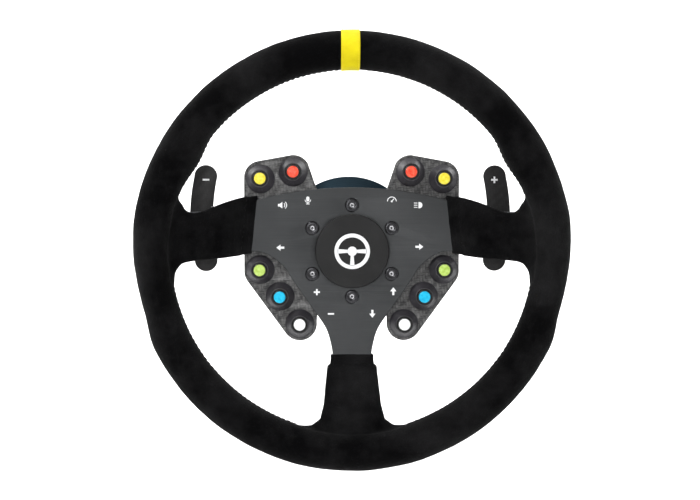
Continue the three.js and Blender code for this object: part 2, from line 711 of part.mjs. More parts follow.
place('contact_plug', turnedAt([
  [0, PLUG.back], [PLUG.radius, PLUG.back], [PLUG.radius, PLUG.shoulder],
  [PLUG.stem, PLUG.shoulder], [PLUG.stem, PLUG.front], [0, PLUG.front],
], 0, 0, 18), FINISHES.plastic);
place('spigot_o_ring', solidOf(turnedGeometry(
  arc(O_RING_CENTRE, O_RING_Y, O_RING_RADIUS, 0, 360, 5),
  TURNED_SEGMENTS,
)), FINISHES.rubber);

// ---- Quick release, column side ------------------------------------------------------------------

const hubTurned = turned([
  [COLUMN_BORE, 0], [BOSS_RADIUS - 0.8, 0], [BOSS_RADIUS, -0.8], [BOSS_RADIUS, FLANGE_BACK],
  [FLANGE_RADIUS - 0.6, FLANGE_BACK], [FLANGE_RADIUS, FLANGE_BACK - 0.6],
  [FLANGE_RADIUS, FLANGE_FRONT + 1], [FLANGE_RADIUS - 1, FLANGE_FRONT],
  [NECK_ROOT.radius, FLANGE_FRONT], [NECK_ROOT.radius, NECK_ROOT.front],
  [NECK_STEP.radius, NECK_STEP.back], [NECK_STEP.radius, NECK_STEP.front],
  [NECK_TOP.radius, NECK_TOP.back], [NECK_TOP.radius, NECK_TOP.front],
  [CORE_RADIUS, NECK_TOP.front], [CORE_RADIUS, SNAP_GROOVE.back],
  [SNAP_GROOVE.radius, SNAP_GROOVE.back], [SNAP_GROOVE.radius, SNAP_GROOVE.front],
  [CORE_RADIUS, SNAP_GROOVE.front], [CORE_RADIUS, CORE_END], [CORE_BORE, CORE_END],
  [CORE_BORE, CORE_FLOOR], [SOCKET_SEAT_RADIUS, CORE_FLOOR],
  [SOCKET_SEAT_RADIUS, SOCKET_SEAT_FLOOR], [COLUMN_BORE, SOCKET_SEAT_FLOOR],
]);
const keyways = spaced(KEY_COUNT, 1).map(([, , a]) => {
  const depth = KEY_OUTER + GAP - KEY_FOOT;
  const slot = new THREE.BoxGeometry(KEYWAY_WIDTH, KEYWAY_LENGTH + 1, depth);
  slot.translate(0, CORE_END + (KEYWAY_LENGTH - 1) / 2, KEY_OUTER + GAP - depth / 2);
  return solidOf(slot.rotateY(a));
});
const ballPockets = spaced(BALL_COUNT, 1, 0.5).map(([, , a]) => {
  const pocket = new THREE.CylinderGeometry(BALL_RADIUS + GAP, BALL_RADIUS + GAP, 10, 10);
  pocket.rotateX(Math.PI / 2);
  pocket.translate(0, BALL_Y, BALL_CENTRE);
  return solidOf(pocket.rotateY(a));
});
const flangeHoles = spaced(FLANGE_HOLE_COUNT, FLANGE_HOLE_CIRCLE, 0.5)
  .map(([x, z]) => rodY(x, z, FLANGE_HOLE, FLANGE_BACK + 1, FLANGE_FRONT - 1, 10));
place(
  'column_hub',
  drilled(hubTurned, [...keyways, ...ballPockets, ...flangeHoles]),
  FINISHES.blued,
);

spaced(BALL_COUNT, BALL_CENTRE, 0.5).forEach(([x, z], i) => {
  const ball = new THREE.SphereGeometry(BALL_RADIUS, 10, 6);
  ball.translate(x, BALL_Y, z);
  place(`lock_ball_${i + 1}`, solidOf(ball), FINISHES.steel);
});

const ballRoom = BALL_RADIUS + 0.4;
const reliefBack = BALL_Y + COLLAR_TRAVEL + ballRoom;
const reliefFront = BALL_Y - ballRoom;
place('release_collar', turned([
  [COLLAR_LAND, COLLAR_BACK], [COLLAR_RADIUS - 1, COLLAR_BACK], [COLLAR_RADIUS, COLLAR_BACK - 1],
  [COLLAR_RADIUS, COLLAR_DISC_BACK + 0.5], [COLLAR_DISC, COLLAR_DISC_BACK],
  [COLLAR_DISC, CORE_END + 0.4], [COLLAR_DISC - 0.5, CORE_END], [COLLAR_MOUTH, CORE_END],
  [COLLAR_MOUTH, COLLAR_SHOULDER], [COLLAR_LAND, COLLAR_SHOULDER], [COLLAR_LAND, reliefFront],
  [COLLAR_RELIEF, reliefFront], [COLLAR_RELIEF, reliefBack], [COLLAR_LAND, reliefBack],
]), FINISHES.blued);

class Helix extends THREE.Curve {
  getPoint(t, target = new THREE.Vector3()) {
    const a = t * SPRING_TURNS * 2 * Math.PI;
    const y = SPRING_BACK - t * SPRING_LENGTH;
    return target.set(SPRING_RADIUS * Math.sin(a), y, SPRING_RADIUS * Math.cos(a));
  }
}
const wire = planeShape(arc(0, 0, SPRING_WIRE, 0, 288, 4));
place('collar_spring', solidOf(new THREE.ExtrudeGeometry(wire, {
  steps: 14 * SPRING_TURNS,
  extrudePath: new Helix(),
  bevelEnabled: false,
  curveSegments: 1,
})), FINISHES.steel);

place('snap_ring', turned([
  [SNAP_RING_INNER, SNAP_RING_BACK], [SNAP_RING_OUTER, SNAP_RING_BACK],
  [SNAP_RING_OUTER, SNAP_RING_FRONT], [SNAP_RING_INNER, SNAP_RING_FRONT],
]), FINISHES.steel);
place('contact_socket', turnedAt([
  [0, CONTACT_SOCKET.back], [CONTACT_SOCKET.radius, CONTACT_SOCKET.back],
  [CONTACT_SOCKET.radius, CONTACT_SOCKET.front], [0, CONTACT_SOCKET.front],
], 0, 0, 18), FINISHES.plastic);

export default group;
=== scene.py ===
"""Looks of the quick release steering wheel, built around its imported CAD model.

Shapes are worked out in millimetres in the CAD frame (Y is the steering axis, the driver is on
the -Y side, +Z is up) and turned into metres when a mesh is made.
"""
import math

import bmesh
import bpy
import numpy as np
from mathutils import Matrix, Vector, noise


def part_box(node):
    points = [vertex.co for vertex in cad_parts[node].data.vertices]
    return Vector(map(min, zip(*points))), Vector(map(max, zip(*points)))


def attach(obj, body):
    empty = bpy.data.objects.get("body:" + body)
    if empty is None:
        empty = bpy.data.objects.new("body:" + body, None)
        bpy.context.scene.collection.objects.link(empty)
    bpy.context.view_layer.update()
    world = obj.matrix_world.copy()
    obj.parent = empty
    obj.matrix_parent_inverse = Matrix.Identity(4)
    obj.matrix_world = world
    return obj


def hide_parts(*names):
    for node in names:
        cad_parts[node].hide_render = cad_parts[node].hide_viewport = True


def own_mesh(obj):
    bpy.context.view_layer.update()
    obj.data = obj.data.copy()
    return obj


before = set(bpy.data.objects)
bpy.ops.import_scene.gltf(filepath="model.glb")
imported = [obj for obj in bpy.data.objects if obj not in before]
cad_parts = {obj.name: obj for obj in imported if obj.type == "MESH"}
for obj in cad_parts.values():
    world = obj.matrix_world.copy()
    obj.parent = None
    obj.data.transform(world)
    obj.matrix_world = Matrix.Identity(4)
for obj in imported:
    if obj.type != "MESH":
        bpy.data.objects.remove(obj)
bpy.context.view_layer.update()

MM = 0.001
TAU = 2 * math.pi
CREASE = 32


def box_mm(node):
    """Lowest and highest corner of a CAD node, in millimetres."""
    low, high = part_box(node)
    return low / MM, high / MM


def middle_mm(node):
    low, high = box_mm(node)
    return (low + high) / 2


# ---- Mesh tools ----


class Shape:
    """Closed shells in millimetres, gathered into one mesh, each with a material number."""

    def __init__(self):
        self.points, self.faces, self.finish = [], [], []

    def add(self, shell, finish=0):
        points, faces = shell
        start = len(self.points)
        self.points.extend(tuple(p) for p in points)
        self.faces.extend(tuple(start + i for i in face) for face in faces)
        self.finish.extend([finish] * len(faces))
        return self

    def mesh(self, name, materials=()):
        """A mesh in metres, with its faces pointing outward."""
        mesh = bpy.data.meshes.new(name)
        mesh.from_pydata([Vector(p) * MM for p in self.points], [], self.faces)
        for material in materials:
            mesh.materials.append(material)
        mesh.polygons.foreach_set("material_index", self.finish)
        work = bmesh.new()
        work.from_mesh(mesh)
        bmesh.ops.recalc_face_normals(work, faces=work.faces)
        work.to_mesh(mesh)
        work.free()
        return mesh


def add_object(name, data):
    thing = bpy.data.objects.new(name, data)
    bpy.context.scene.collection.objects.link(thing)
    return thing


def make(name, shape, materials, body, replaces=(), crease=CREASE):
    """Turns a shape into a piece that rides on a body."""
    mesh = shape.mesh(name, materials)
    mesh.shade_smooth()
    mesh.set_sharp_from_angle(angle=math.radians(crease))
    piece = add_object(name, mesh)
    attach(piece, body)
    if replaces:
        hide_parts(*replaces)
    return piece


def detail(node, shape, materials, body, crease=CREASE):
    """A finer piece in the place of one CAD node."""
    return make(f"{node}_detail", shape, materials, body, [node], crease)


def soften(profile, radius, steps=3, closed=False):
    """Rounds the corners of a line of (u, v) points."""
    points = [np.array(p[:2], float) for p in profile]
    out = []
    count = len(points)
    for i, here in enumerate(points):
        if not closed and i in (0, count - 1):
            out.append(tuple(here))
            continue
        before, after = points[i - 1] - here, points[(i + 1) % count] - here
        reach = min(radius, 0.45 * np.linalg.norm(before), 0.45 * np.linalg.norm(after))
        start = here + before / np.linalg.norm(before) * reach
        end = here + after / np.linalg.norm(after) * reach
        for k in range(steps + 1):
            t = k / steps
            out.append(tuple((1 - t) ** 2 * start + 2 * t * (1 - t) * here + t * t * end))
    return out


def rod(radius, start, end, soft):
    """The profile of a rod with softened edges, to revolve."""
    return soften([(0, start), (radius, start), (radius, end), (0, end)], soft)


def band(inner, outer, start, end, soft):
    """The closed profile of a ring with softened edges, to revolve."""
    corners = [(inner, start), (outer, start), (outer, end), (inner, end)]
    return soften(corners, soft, 2, closed=True)


AXES = {
    "y": lambda c, r, a, t: (c[0] + r * math.sin(a), t, c[2] + r * math.cos(a)),
    "x": lambda c, r, a, t: (t, c[1] + r * math.sin(a), c[2] + r * math.cos(a)),
    "z": lambda c, r, a, t: (c[0] + r * math.cos(a), c[1] + r * math.sin(a), t),
}


def revolve(profile, centre=(0, 0, 0), axis="y", steps=96, closed=False):
    """A profile of (radius, place along the axis) turned about an axis through centre.
    A third value of "hex" makes that ring a hexagon of the given corner radius."""
    place = AXES[axis]
    points, rings = [], []
    for radius, along, *form in profile:
        if radius < 1e-6:
            rings.append([len(points)] * steps)
            points.append(place(centre, 0, 0, along))
            continue
        rings.append(list(range(len(points), len(points) + steps)))
        for k in range(steps):
            angle = TAU * k / steps
            hexagon = math.cos(math.pi / 6) / math.cos(angle % (math.pi / 3) - math.pi / 6)
            points.append(place(centre, radius * hexagon if form else radius, angle, along))
    faces = []
    pairs = list(zip(rings, rings[1:])) + ([(rings[-1], rings[0])] if closed else [])
    for lower, upper in pairs:
        for k in range(steps):
            n = (k + 1) % steps
            loop = [lower[k], lower[n], upper[n], upper[k]]
            corners = [v for i, v in enumerate(loop) if v != loop[i - 1]]
            if len(corners) > 2:
                faces.append(corners)
    return points, faces


def grid(rows, wrap_u=True, wrap_v=True):
    """A surface through rows of points. wrap_u joins the last row to the first, wrap_v the ends."""
    height, width = len(rows), len(rows[0])
    points = [p for row in rows for p in row]
    faces = []
    for i in range(height if wrap_u else height - 1):
        for j in range(width if wrap_v else width - 1):
            a, b = i * width, (i + 1) % height * width
            n = (j + 1) % width
            faces.append((a + j, a + n, b + n, b + j))
    if not wrap_u and wrap_v:
        faces.append(tuple(range(width)))
        faces.append(tuple(range((height - 1) * width, height * width)))
    return points, faces


def slab(outlines, back, front, bevel=0.35, steps=2):
    """Outlines in x and z, the first one outside and the rest holes, made into a plate between two
    y planes, with rounded edges."""
    curve = bpy.data.curves.new("outline", "CURVE")
    curve.dimensions = "2D"
    curve.fill_mode = "BOTH"
    curve.extrude = max((back - front) / 2 - bevel, 0.001)
    curve.bevel_depth = bevel
    curve.bevel_resolution = steps
    curve.offset = -bevel
    for outline in outlines:
        line = curve.splines.new("POLY")
        line.points.add(len(outline) - 1)
        for point, (x, z) in zip(line.points, outline):
            point.co = (x, z, 0, 1)
        line.use_cyclic_u = True
    holder = add_object("outline", curve)
    mesh = bpy.data.meshes.new_from_object(
        holder.evaluated_get(bpy.context.evaluated_depsgraph_get())
    )
    level = (back + front) / 2
    work = bmesh.new()
    work.from_mesh(mesh)
    bmesh.ops.remove_doubles(work, verts=work.verts, dist=1e-4)
    work.verts.index_update()
    points = [(v.co.x, level - v.co.z, v.co.y) for v in work.verts]
    faces = [[v.index for v in face.verts] for face in work.faces]
    work.free()
    bpy.data.objects.remove(holder)
    bpy.data.curves.remove(curve)
    bpy.data.meshes.remove(mesh)
    return points, faces


def upright_slab(outlines, side, level, half, bevel, steps=3):
    """A plate drawn in x and y, with its thickness along z. side is -1 to mirror it."""
    points, faces = slab(outlines, half, -half, bevel, steps)
    return [(side * x, y, level - depth) for x, depth, y in points], faces


def rounded_bar(centre, half, radius):
    """A block with rounded edges and corners, its half sizes along x, y and z."""
    work = bmesh.new()
    bmesh.ops.create_cube(work, size=2)
    for vertex in work.verts:
        vertex.co = Vector([c * h for c, h in zip(vertex.co, half)])
    bmesh.ops.bevel(work, geom=work.edges[:] + work.verts[:], offset=radius, segments=3,
                    profile=0.5, affect="EDGES")
    work.verts.index_update()
    points = [tuple(v.co + Vector(centre)) for v in work.verts]
    faces = [[v.index for v in face.verts] for face in work.faces]
    work.free()
    return points, faces


def arc(x, z, radius, start, end, steps):
    """Points on an arc, angles in degrees from +x towards +z."""
    angles = np.radians(np.linspace(start, end, steps + 1))
    return [(x + radius * math.cos(a), z + radius * math.sin(a)) for a in angles]


def arc_back(*values):
    return list(reversed(arc(*values)))


def circle(x, z, radius, steps=48):
    return arc(x, z, radius, 0, 360, steps)[:-1]


def mirrored(outline):
    return [(-x, z) for x, z in reversed(outline)]


def between(p0, p1, p2, p3, t):
    """A point on the smooth curve from p1 to p2, whose neighbours are p0 and p3."""
    return tuple(0.5 * (2 * p1 + (p2 - p0) * t + (2 * p0 - 5 * p1 + 4 * p2 - p3) * t * t
                        + (3 * p1 - p0 - 3 * p2 + p3) * t ** 3))


def turned(x, z, angle):
    """x and z turned by an angle in radians, from +x towards +z."""
    c, s = math.cos(angle), math.sin(angle)
    return x * c - z * s, x * s + z * c


def turned_shell(shell, angle, rise=0.0):
    """A shell turned about the steering axis, from +z towards +x, then raised."""
    points, faces = shell
    places = [turned(x, z, -angle) for x, _, z in points]
    return [(x, p[1], z + rise) for (x, z), p in zip(places, points)], faces


def ring_angles(count, offset=0.0):
    return [TAU * (k + offset) / count for k in range(count)]


def out_at(angle, radius):
    """A place out from the steering axis, from +z towards +x."""
    return radius * math.sin(angle), 0, radius * math.cos(angle)


def ring_of_points(centre, forward, side, radius, sides):
    """Points round centre in the plane of two unit vectors."""
    angles = [TAU * k / sides for k in range(sides)]
    return [centre + radius * (forward * math.cos(a) + side * math.sin(a)) for a in angles]


def tube(path, radius, sides):
    """A round tube along points, with closed ends."""
    path = [Vector(p) for p in path]
    last = len(path) - 1
    side = (path[1] - path[0]).normalized().orthogonal().normalized()
    rows = []
    for i, here in enumerate(path):
        forward = (path[min(i + 1, last)] - path[max(i - 1, 0)]).normalized()
        side = (side - forward * side.dot(forward)).normalized()
        rows.append(ring_of_points(here, side, forward.cross(side), radius, sides))
    return grid(rows, wrap_u=False)


# Place along a stitch, and its width and height there as parts of the full ones.
STITCH_RINGS = ((0, 0.35, -0.6), (0.12, 0.85, 0.35), (0.35, 1, 0.9), (0.65, 1, 0.9),
                (0.88, 0.85, 0.35), (1, 0.35, -0.6))


def stitch(start, end, out, radius, lift):
    """One short thread from start to end, bowed outward and tapering into the cover."""
    start, end, out = Vector(start), Vector(end), Vector(out).normalized()
    side = (end - start).normalized().cross(out).normalized()
    rows = []
    for t, width, height in STITCH_RINGS:
        here = start.lerp(end, t) + out * lift * height
        rows.append(ring_of_points(here, side, out, radius * width, 6))
    return grid(rows, wrap_u=False)


def cut(piece, tools):
    """Subtracts closed shells from a piece's mesh."""
    shape = Shape()
    for shell in tools:
        shape.add(shell)
    mesh = shape.mesh("cutter")
    cutter = add_object("cutter", mesh)
    step = piece.modifiers.new("cut", "BOOLEAN")
    step.operation = "DIFFERENCE"
    step.solver = "EXACT"
    step.object = cutter
    bpy.context.view_layer.update()
    result = bpy.data.meshes.new_from_object(
        piece.evaluated_get(bpy.context.evaluated_depsgraph_get())
    )
    piece.modifiers.clear()
    old = piece.data
    piece.data = result
    result.set_sharp_from_angle(angle=math.radians(CREASE))
    bpy.data.meshes.remove(old)
    bpy.data.objects.remove(cutter)
    bpy.data.meshes.remove(mesh)


# ---- Materials ----


class Number:
    """A number in a material's nodes. Arithmetic on it adds math nodes."""

    def __init__(self, look, socket):
        self.look, self.socket = look, socket

    def __add__(self, other):
        return self.look.math("ADD", self, other)

    def __sub__(self, other):
        return self.look.math("SUBTRACT", self, other)

    def __rsub__(self, other):
        return self.look.math("SUBTRACT", other, self)

    def __mul__(self, other):
        return self.look.math("MULTIPLY", self, other)

    def __truediv__(self, other):
        return self.look.math("DIVIDE", self, other)


class Look:
    """A node material with small helpers to build it. Lengths are in metres."""

    def __init__(self, name, colour, roughness, metallic=0.0, **sockets):
        self.material = bpy.data.materials.new(name)
        self.material.use_nodes = True
        self.tree = self.material.node_tree
        self.shader = self.tree.nodes["Principled BSDF"]
        self.shader.inputs["Base Color"].default_value = (*colour, 1)
        self.shader.inputs["Roughness"].default_value = roughness
        self.shader.inputs["Metallic"].default_value = metallic
        for socket, value in sockets.items():
            self.shader.inputs[socket.replace("_", " ")].default_value = value
        self.coordinates = self.node("ShaderNodeTexCoord").outputs["Object"]

    def node(self, kind, **settings):
        made = self.tree.nodes.new(kind)
        for key, value in settings.items():
            setattr(made, key, value)
        return made

    def put(self, socket, value):
        if isinstance(value, Number):
            value = value.socket
        if isinstance(value, bpy.types.NodeSocket):
            self.tree.links.new(value, socket)
        else:
            socket.default_value = value

    def math(self, operation, *values):
        made = self.node("ShaderNodeMath", operation=operation)
        for socket, value in zip(made.inputs, values):
            self.put(socket, value)
        return Number(self, made.outputs[0])

    def stretched(self, x, y, z):
        """Coordinates multiplied along each axis, per metre."""
        made = self.node("ShaderNodeVectorMath", operation="MULTIPLY")
        self.put(made.inputs[0], self.coordinates)
        made.inputs[1].default_value = (x, y, z)
        return made.outputs[0]

    def noise(self, scale, fineness=3, roughness=0.5, vector=None, number=None):
        """Noise over the coordinates, over another vector, or along a number."""
        made = self.node("ShaderNodeTexNoise", noise_dimensions="1D" if number else "3D")
        if number:
            self.put(made.inputs["W"], number)
        else:
            self.put(made.inputs["Vector"], vector or self.coordinates)
        made.inputs["Scale"].default_value = scale
        made.inputs["Detail"].default_value = fineness
        made.inputs["Roughness"].default_value = roughness
        return Number(self, made.outputs["Fac"])

    def spread(self, value, low, high, to_low=0, to_high=1):
        made = self.node("ShaderNodeMapRange")
        for socket, number in zip(made.inputs, (value, low, high, to_low, to_high)):
            self.put(socket, number)
        return Number(self, made.outputs[0])

    def blend(self, factor, first, second):
        made = self.node("ShaderNodeMix", data_type="RGBA")
        self.put(made.inputs["Factor"], factor)
        colours = [socket for socket in made.inputs if socket.type == "RGBA"]
        for socket, colour in zip(colours, (first, second)):
            socket.default_value = (*colour, 1)
        return next(socket for socket in made.outputs if socket.type == "RGBA")

    def parts(self):
        made = self.node("ShaderNodeSeparateXYZ")
        self.put(made.inputs[0], self.coordinates)
        return [Number(self, socket) for socket in made.outputs]

    def colour(self, value):
        self.put(self.shader.inputs["Base Color"], value)

    def tint(self, value, low, high, dark, light):
        """Colours the surface from dark to light where a value goes from low to high."""
        self.colour(self.blend(self.spread(value, low, high), dark, light))

    def rough(self, value, low, high, to_low, to_high):
        self.put(self.shader.inputs["Roughness"], self.spread(value, low, high, to_low, to_high))

    def bump(self, height, depth, strength=1.0):
        """Adds relief of a given depth, over any relief already there."""
        made = self.node("ShaderNodeBump")
        made.inputs["Strength"].default_value = strength
        made.inputs["Distance"].default_value = depth
        self.put(made.inputs["Height"], height)
        normal = self.shader.inputs["Normal"]
        if normal.is_linked:
            self.put(made.inputs["Normal"], normal.links[0].from_socket)
        self.put(normal, made.outputs["Normal"])


def suede(name, dark, light):
    """Napped microfibre suede: brushed patches, a fine upright nap and a soft sheen."""
    look = Look(name, dark, 0.95, Sheen_Weight=0.03, Sheen_Roughness=0.5, Specular_IOR_Level=0.02)
    brushed = look.noise(16, 3, 0.55)
    worn = look.noise(140, 3, 0.55)
    fibre = look.noise(2600, 2, 0.6)
    tone = look.spread(brushed * 0.8 + worn * 0.2, 0.42, 0.68)
    made = look.node("ShaderNodeVectorMath", operation="SCALE")
    look.put(made.inputs[0], look.blend(tone, dark, light))
    look.put(made.inputs["Scale"], look.spread(fibre, 0.3, 0.7, 0.55, 1.25))
    look.colour(made.outputs[0])
    look.bump(fibre, 0.00022)
    look.bump(look.noise(600, 3, 0.6), 0.00025)
    look.bump(worn, 0.0006, 0.6)
    return look.material


def brushed_metal(name, dark, light, roughness):
    """Anodised metal with a fine straight brushed grain along x."""
    look = Look(name, dark, roughness, 1.0)
    grain = look.noise(1, 4, 0.7, look.stretched(14, 5200, 5200))
    cloud = look.noise(22)
    look.tint(grain * 0.6 + cloud * 0.4, 0.3, 0.7, dark, light)
    look.rough(grain, 0.3, 0.7, roughness - 0.06, roughness + 0.08)
    look.bump(grain, 0.00003, 0.7)
    return look.material


def turned_metal(name, dark, light, roughness):
    """Machined and anodised metal, with fine turning marks about the steering axis."""
    look = Look(name, dark, roughness, 1.0)
    x, y, z = look.parts()
    radius = look.math("SQRT", x * x + z * z)
    marks = look.noise(1, number=(radius + y) * 2600)
    cloud = look.noise(60, 3, 0.6)
    look.tint(marks * 0.78 + cloud * 0.22, 0.32, 0.68, dark, light)
    look.rough(cloud, 0.3, 0.7, roughness - 0.02, roughness + 0.03)
    look.bump(marks, 0.00002, 0.6)
    return look.material


def moulded(name, dark, light, roughness, grain=900, depth=0.00006, **sockets):
    """Moulded plastic or rubber with a fine etched grain and slight colour drift."""
    look = Look(name, dark, roughness, 0.0, **sockets)
    fine = look.noise(grain, 3, 0.55)
    look.tint(look.noise(45), 0.3, 0.7, dark, light)
    look.rough(fine, 0.3, 0.7, roughness - 0.05, roughness + 0.06)
    look.bump(fine, depth, 0.6)
    return look.material


def carbon(name, pitch, dark, light, gloss):
    """Carbon fibre in a two-by-two twill, seen across the x-z plane, under a clear coat, with a painted
    sheen along the crown of each tow.
    """
    look = Look(name, dark, 0.42, 0.0, Specular_IOR_Level=0.3, Coat_Weight=gloss,
                Coat_Roughness=0.22)
    x, _, z = look.parts()
    sway = (look.noise(55, 2) - 0.5) * (pitch * 0.8)
    u = (x + sway) / pitch
    v = (z - sway) / pitch
    step = look.math("FLOOR", u) - look.math("FLOOR", v)
    over = look.math("LESS_THAN", look.math("FLOORED_MODULO", step, 4.0), 1.5)
    under = 1.0 - over

    def crown(place):
        return 1.0 - look.math("ABSOLUTE", look.math("FRACT", place) - 0.5) * 1.7

    # height is the rounded relief of each tow. It drives the bump, and in the tone below it is also
    # painted sheen.
    height = crown(u) * over + crown(v) * under
    strand_u = look.noise(1, 2, vector=look.stretched(9000, 9000, 260))
    strand_v = look.noise(1, 2, vector=look.stretched(260, 9000, 9000))
    strands = strand_u * over + strand_v * under
    mottle = look.noise(210, 4, 0.7)
    # height * 0.20 is painted sheen: each tow is lighter along its crown and darker at its edges, as if
    # it caught the light.
    tone = height * 0.20 + strands * 0.34 + over * 0.10 + mottle * 1.1
    look.tint(tone, 0.72, 1.2, dark, light)
    look.rough(strands, 0.2, 0.8, 0.34, 0.52)
    look.bump(height, 0.00008, 0.6)
    look.bump(strands, 0.00002, 0.5)
    return look.material


def leather(name, dark, light):
    """Fine-grained leather."""
    look = Look(name, dark, 0.62, Specular_IOR_Level=0.2)
    cells = look.node("ShaderNodeTexVoronoi", feature="DISTANCE_TO_EDGE")
    look.put(cells.inputs["Vector"], look.coordinates)
    cells.inputs["Scale"].default_value = 1300
    look.tint(look.noise(90, 3, 0.6), 0.3, 0.7, dark, light)
    look.bump(look.spread(cells.outputs["Distance"], 0.0, 0.25), 0.0001, 0.7)
    look.bump(look.noise(380), 0.0002, 0.5)
    return look.material


def lens(name, dark, light):
    """A translucent coloured button top, clouded inside."""
    look = Look(name, dark, 0.34, Coat_Weight=0.12, Coat_Roughness=0.12, Specular_IOR_Level=0.2,
                Subsurface_Weight=0.2, Subsurface_Radius=(0.002, 0.002, 0.002),
                Subsurface_Scale=1.0)
    look.tint(look.noise(420, 3, 0.55), 0.35, 0.65, dark, light)
    look.bump(look.noise(1500, 2), 0.0001, 0.6)
    return look.material


def printed(name, dark, light):
    """Screen-printed ink."""
    look = Look(name, dark, 0.55)
    grains = look.noise(2400, 2, 0.6)
    look.tint(grains, 0.35, 0.6, dark, light)
    look.bump(grains, 0.00002, 0.5)
    return look.material


SUEDE = suede("black_suede", (0.0016, 0.0016, 0.0018), (0.0115, 0.0114, 0.0118))
THREAD = moulded("black_thread", (0.003, 0.003, 0.0032), (0.008, 0.008, 0.0084), 0.9, 5200, 0.0002,
                 Specular_IOR_Level=0.1)
MARKER = leather("yellow_leather", (0.59, 0.485, 0.0), (0.70, 0.595, 0.001))
YELLOW_THREAD = moulded("yellow_thread", (0.6, 0.44, 0.0), (0.8, 0.62, 0.01), 0.75, 5200, 0.0002)
FOAM = moulded("rim_foam", (0.02, 0.02, 0.022), (0.04, 0.04, 0.042), 0.9, 700, 0.0003)
PLATE = brushed_metal("brushed_anodised_plate", (0.036, 0.0375, 0.039), (0.074, 0.076, 0.078), 0.42)
ARM_METAL = brushed_metal("brushed_anodised_arm", (0.05, 0.056, 0.062), (0.10, 0.11, 0.12), 0.36)
BLUE_GREY = turned_metal("anodised_blue_grey", (0.013, 0.024, 0.033), (0.027, 0.044, 0.058), 0.3)
BLACK_ANODISED = turned_metal("black_anodised", (0.045, 0.044, 0.048), (0.075, 0.073, 0.078), 0.36)
SPIGOT = turned_metal("brushed_warm_grey", (0.05, 0.046, 0.044), (0.092, 0.085, 0.08), 0.36)
STEEL = turned_metal("ground_steel", (0.42, 0.42, 0.44), (0.62, 0.62, 0.64), 0.26)
BLACK_STEEL = turned_metal("black_steel", (0.018, 0.018, 0.02), (0.05, 0.05, 0.054), 0.3)
BOLT_STEEL = turned_metal("blackened_bolt_steel", (0.03, 0.03, 0.032), (0.06, 0.06, 0.064), 0.2)
BRASS = turned_metal("brass", (0.45, 0.33, 0.12), (0.62, 0.46, 0.18), 0.3)
CARBON = carbon("satin_carbon", 0.0021, (0.006, 0.006, 0.007), (0.13, 0.128, 0.126), 0.5)
BLADE = carbon("blade_carbon", 0.0019, (0.006, 0.0056, 0.0058), (0.015, 0.0142, 0.0148), 0.08)
BLACK = moulded("moulded_black", (0.018, 0.018, 0.019), (0.028, 0.028, 0.029), 0.46)
BEZEL = moulded("bezel_purple_grey", (0.016, 0.0148, 0.0182), (0.025, 0.0228, 0.0284), 0.45, 1500,
                Specular_IOR_Level=0.45)
CAP_BLACK = moulded("cap_black", (0.009, 0.009, 0.0093), (0.014, 0.014, 0.0143), 0.45, 1500,
                    Specular_IOR_Level=0.2)
PLUNGER = moulded("plunger_black", (0.004, 0.004, 0.004), (0.008, 0.008, 0.008), 0.4, 1500)
RUBBER = moulded("rubber", (0.008, 0.008, 0.0085), (0.014, 0.014, 0.015), 0.75, 1200)
SOLDER_MASK = moulded("solder_mask", (0.006, 0.055, 0.02), (0.01, 0.085, 0.03), 0.35, 500,
                      0.00003, Coat_Weight=0.3)
INK = printed("white_ink", (0.62, 0.63, 0.64), (0.84, 0.85, 0.86))
LENSES = {
    "yellow": lens("yellow_lens", (0.68, 0.56, 0.02), (0.82, 0.72, 0.10)),
    "red": lens("red_lens", (0.70, 0.035, 0.012), (0.82, 0.13, 0.07)),
    "green": lens("green_lens", (0.34, 0.50, 0.07), (0.50, 0.66, 0.19)),
    "blue": lens("blue_lens", (0.002, 0.36, 0.60), (0.015, 0.50, 0.74)),
    "white": lens("white_lens", (0.82, 0.84, 0.84), (0.93, 0.95, 0.95)),
}

# ---- Rim cover ----

cover_low, cover_high = box_mm("rim_cover")
RIM_HALF_WIDTH = 14.65
RIM_HALF_DEPTH = 16.0
RIM_Y = cover_low.y + RIM_HALF_DEPTH
RIM_R = cover_high.z - RIM_HALF_WIDTH
RIM_BORE = RIM_R - RIM_HALF_WIDTH
THUMB_ANGLE, THUMB_SPREAD, THUMB_DEPTH = 60.0, 11.0, 3.3
DIP_START, DIP_DEEPEST, DIP_END, DIP_DEPTH = 78.0, 106.0, 116.0, 3.1
SEAM_WIDTH, SEAM_DEPTH = 1.3, 0.7
MELT = 4.0

spacer_low, spacer_high = box_mm("spacer_ring")
CAD_GAP = 0.3
PLATE_BACK = spacer_low.y - CAD_GAP
PLATE_FRONT = PLATE_BACK - 4
PLATE_MIDDLE = (PLATE_BACK + PLATE_FRONT) / 2
SLEEVE_THICKNESS = 7.6
SLEEVE_EDGE = 2.8
SIDE_SLOPE_START, BOTTOM_SLOPE_START, ARM_SLOPE_END = 82.0, 88.0, 142.0
HEM_WIDTH, HEM_STEP, HEM_RAMP = 8.6, 0.8, 1.6
FOLD_DEPTH, FOLD_RATE, FOLD_PLACE, FOLD_REACH = 0.3, 1.7, 9, 10
STITCH_STEP = 2.0

SIDE_ARM = [
    (71, 43.2), (76, -2.6), (91.4, -4.5), (99.1, -5.4), (116.5, -6.7), (126.9, -8.4), (131, -12),
    (133.6, -17), (135.4, -25), (144, -34), (152, 0), (144, 46), (129.7, 37.8), (125.7, 32),
    (120.8, 29.4), (113.3, 30.6), (103.4, 34.7), (90.6, 39.3), (79.3, 41.9),
]
BOTTOM_ARM_EDGE = [
    (-16.9, -78.3), (-17.3, -86), (-19.1, -88.5), (-20.5, -102), (-21.9, -116), (-24.7, -127),
    (-31, -131.4), (-40, -133), (-44, -143), (-24, -149),
]
BOTTOM_ARM = BOTTOM_ARM_EDGE + [(0, -152)] + mirrored(BOTTOM_ARM_EDGE)
BOTTOM_END = BOTTOM_ARM_EDGE[0][1]


def smooth(t):
    t = np.clip(t, 0, 1)
    return t * t * (3 - 2 * t)


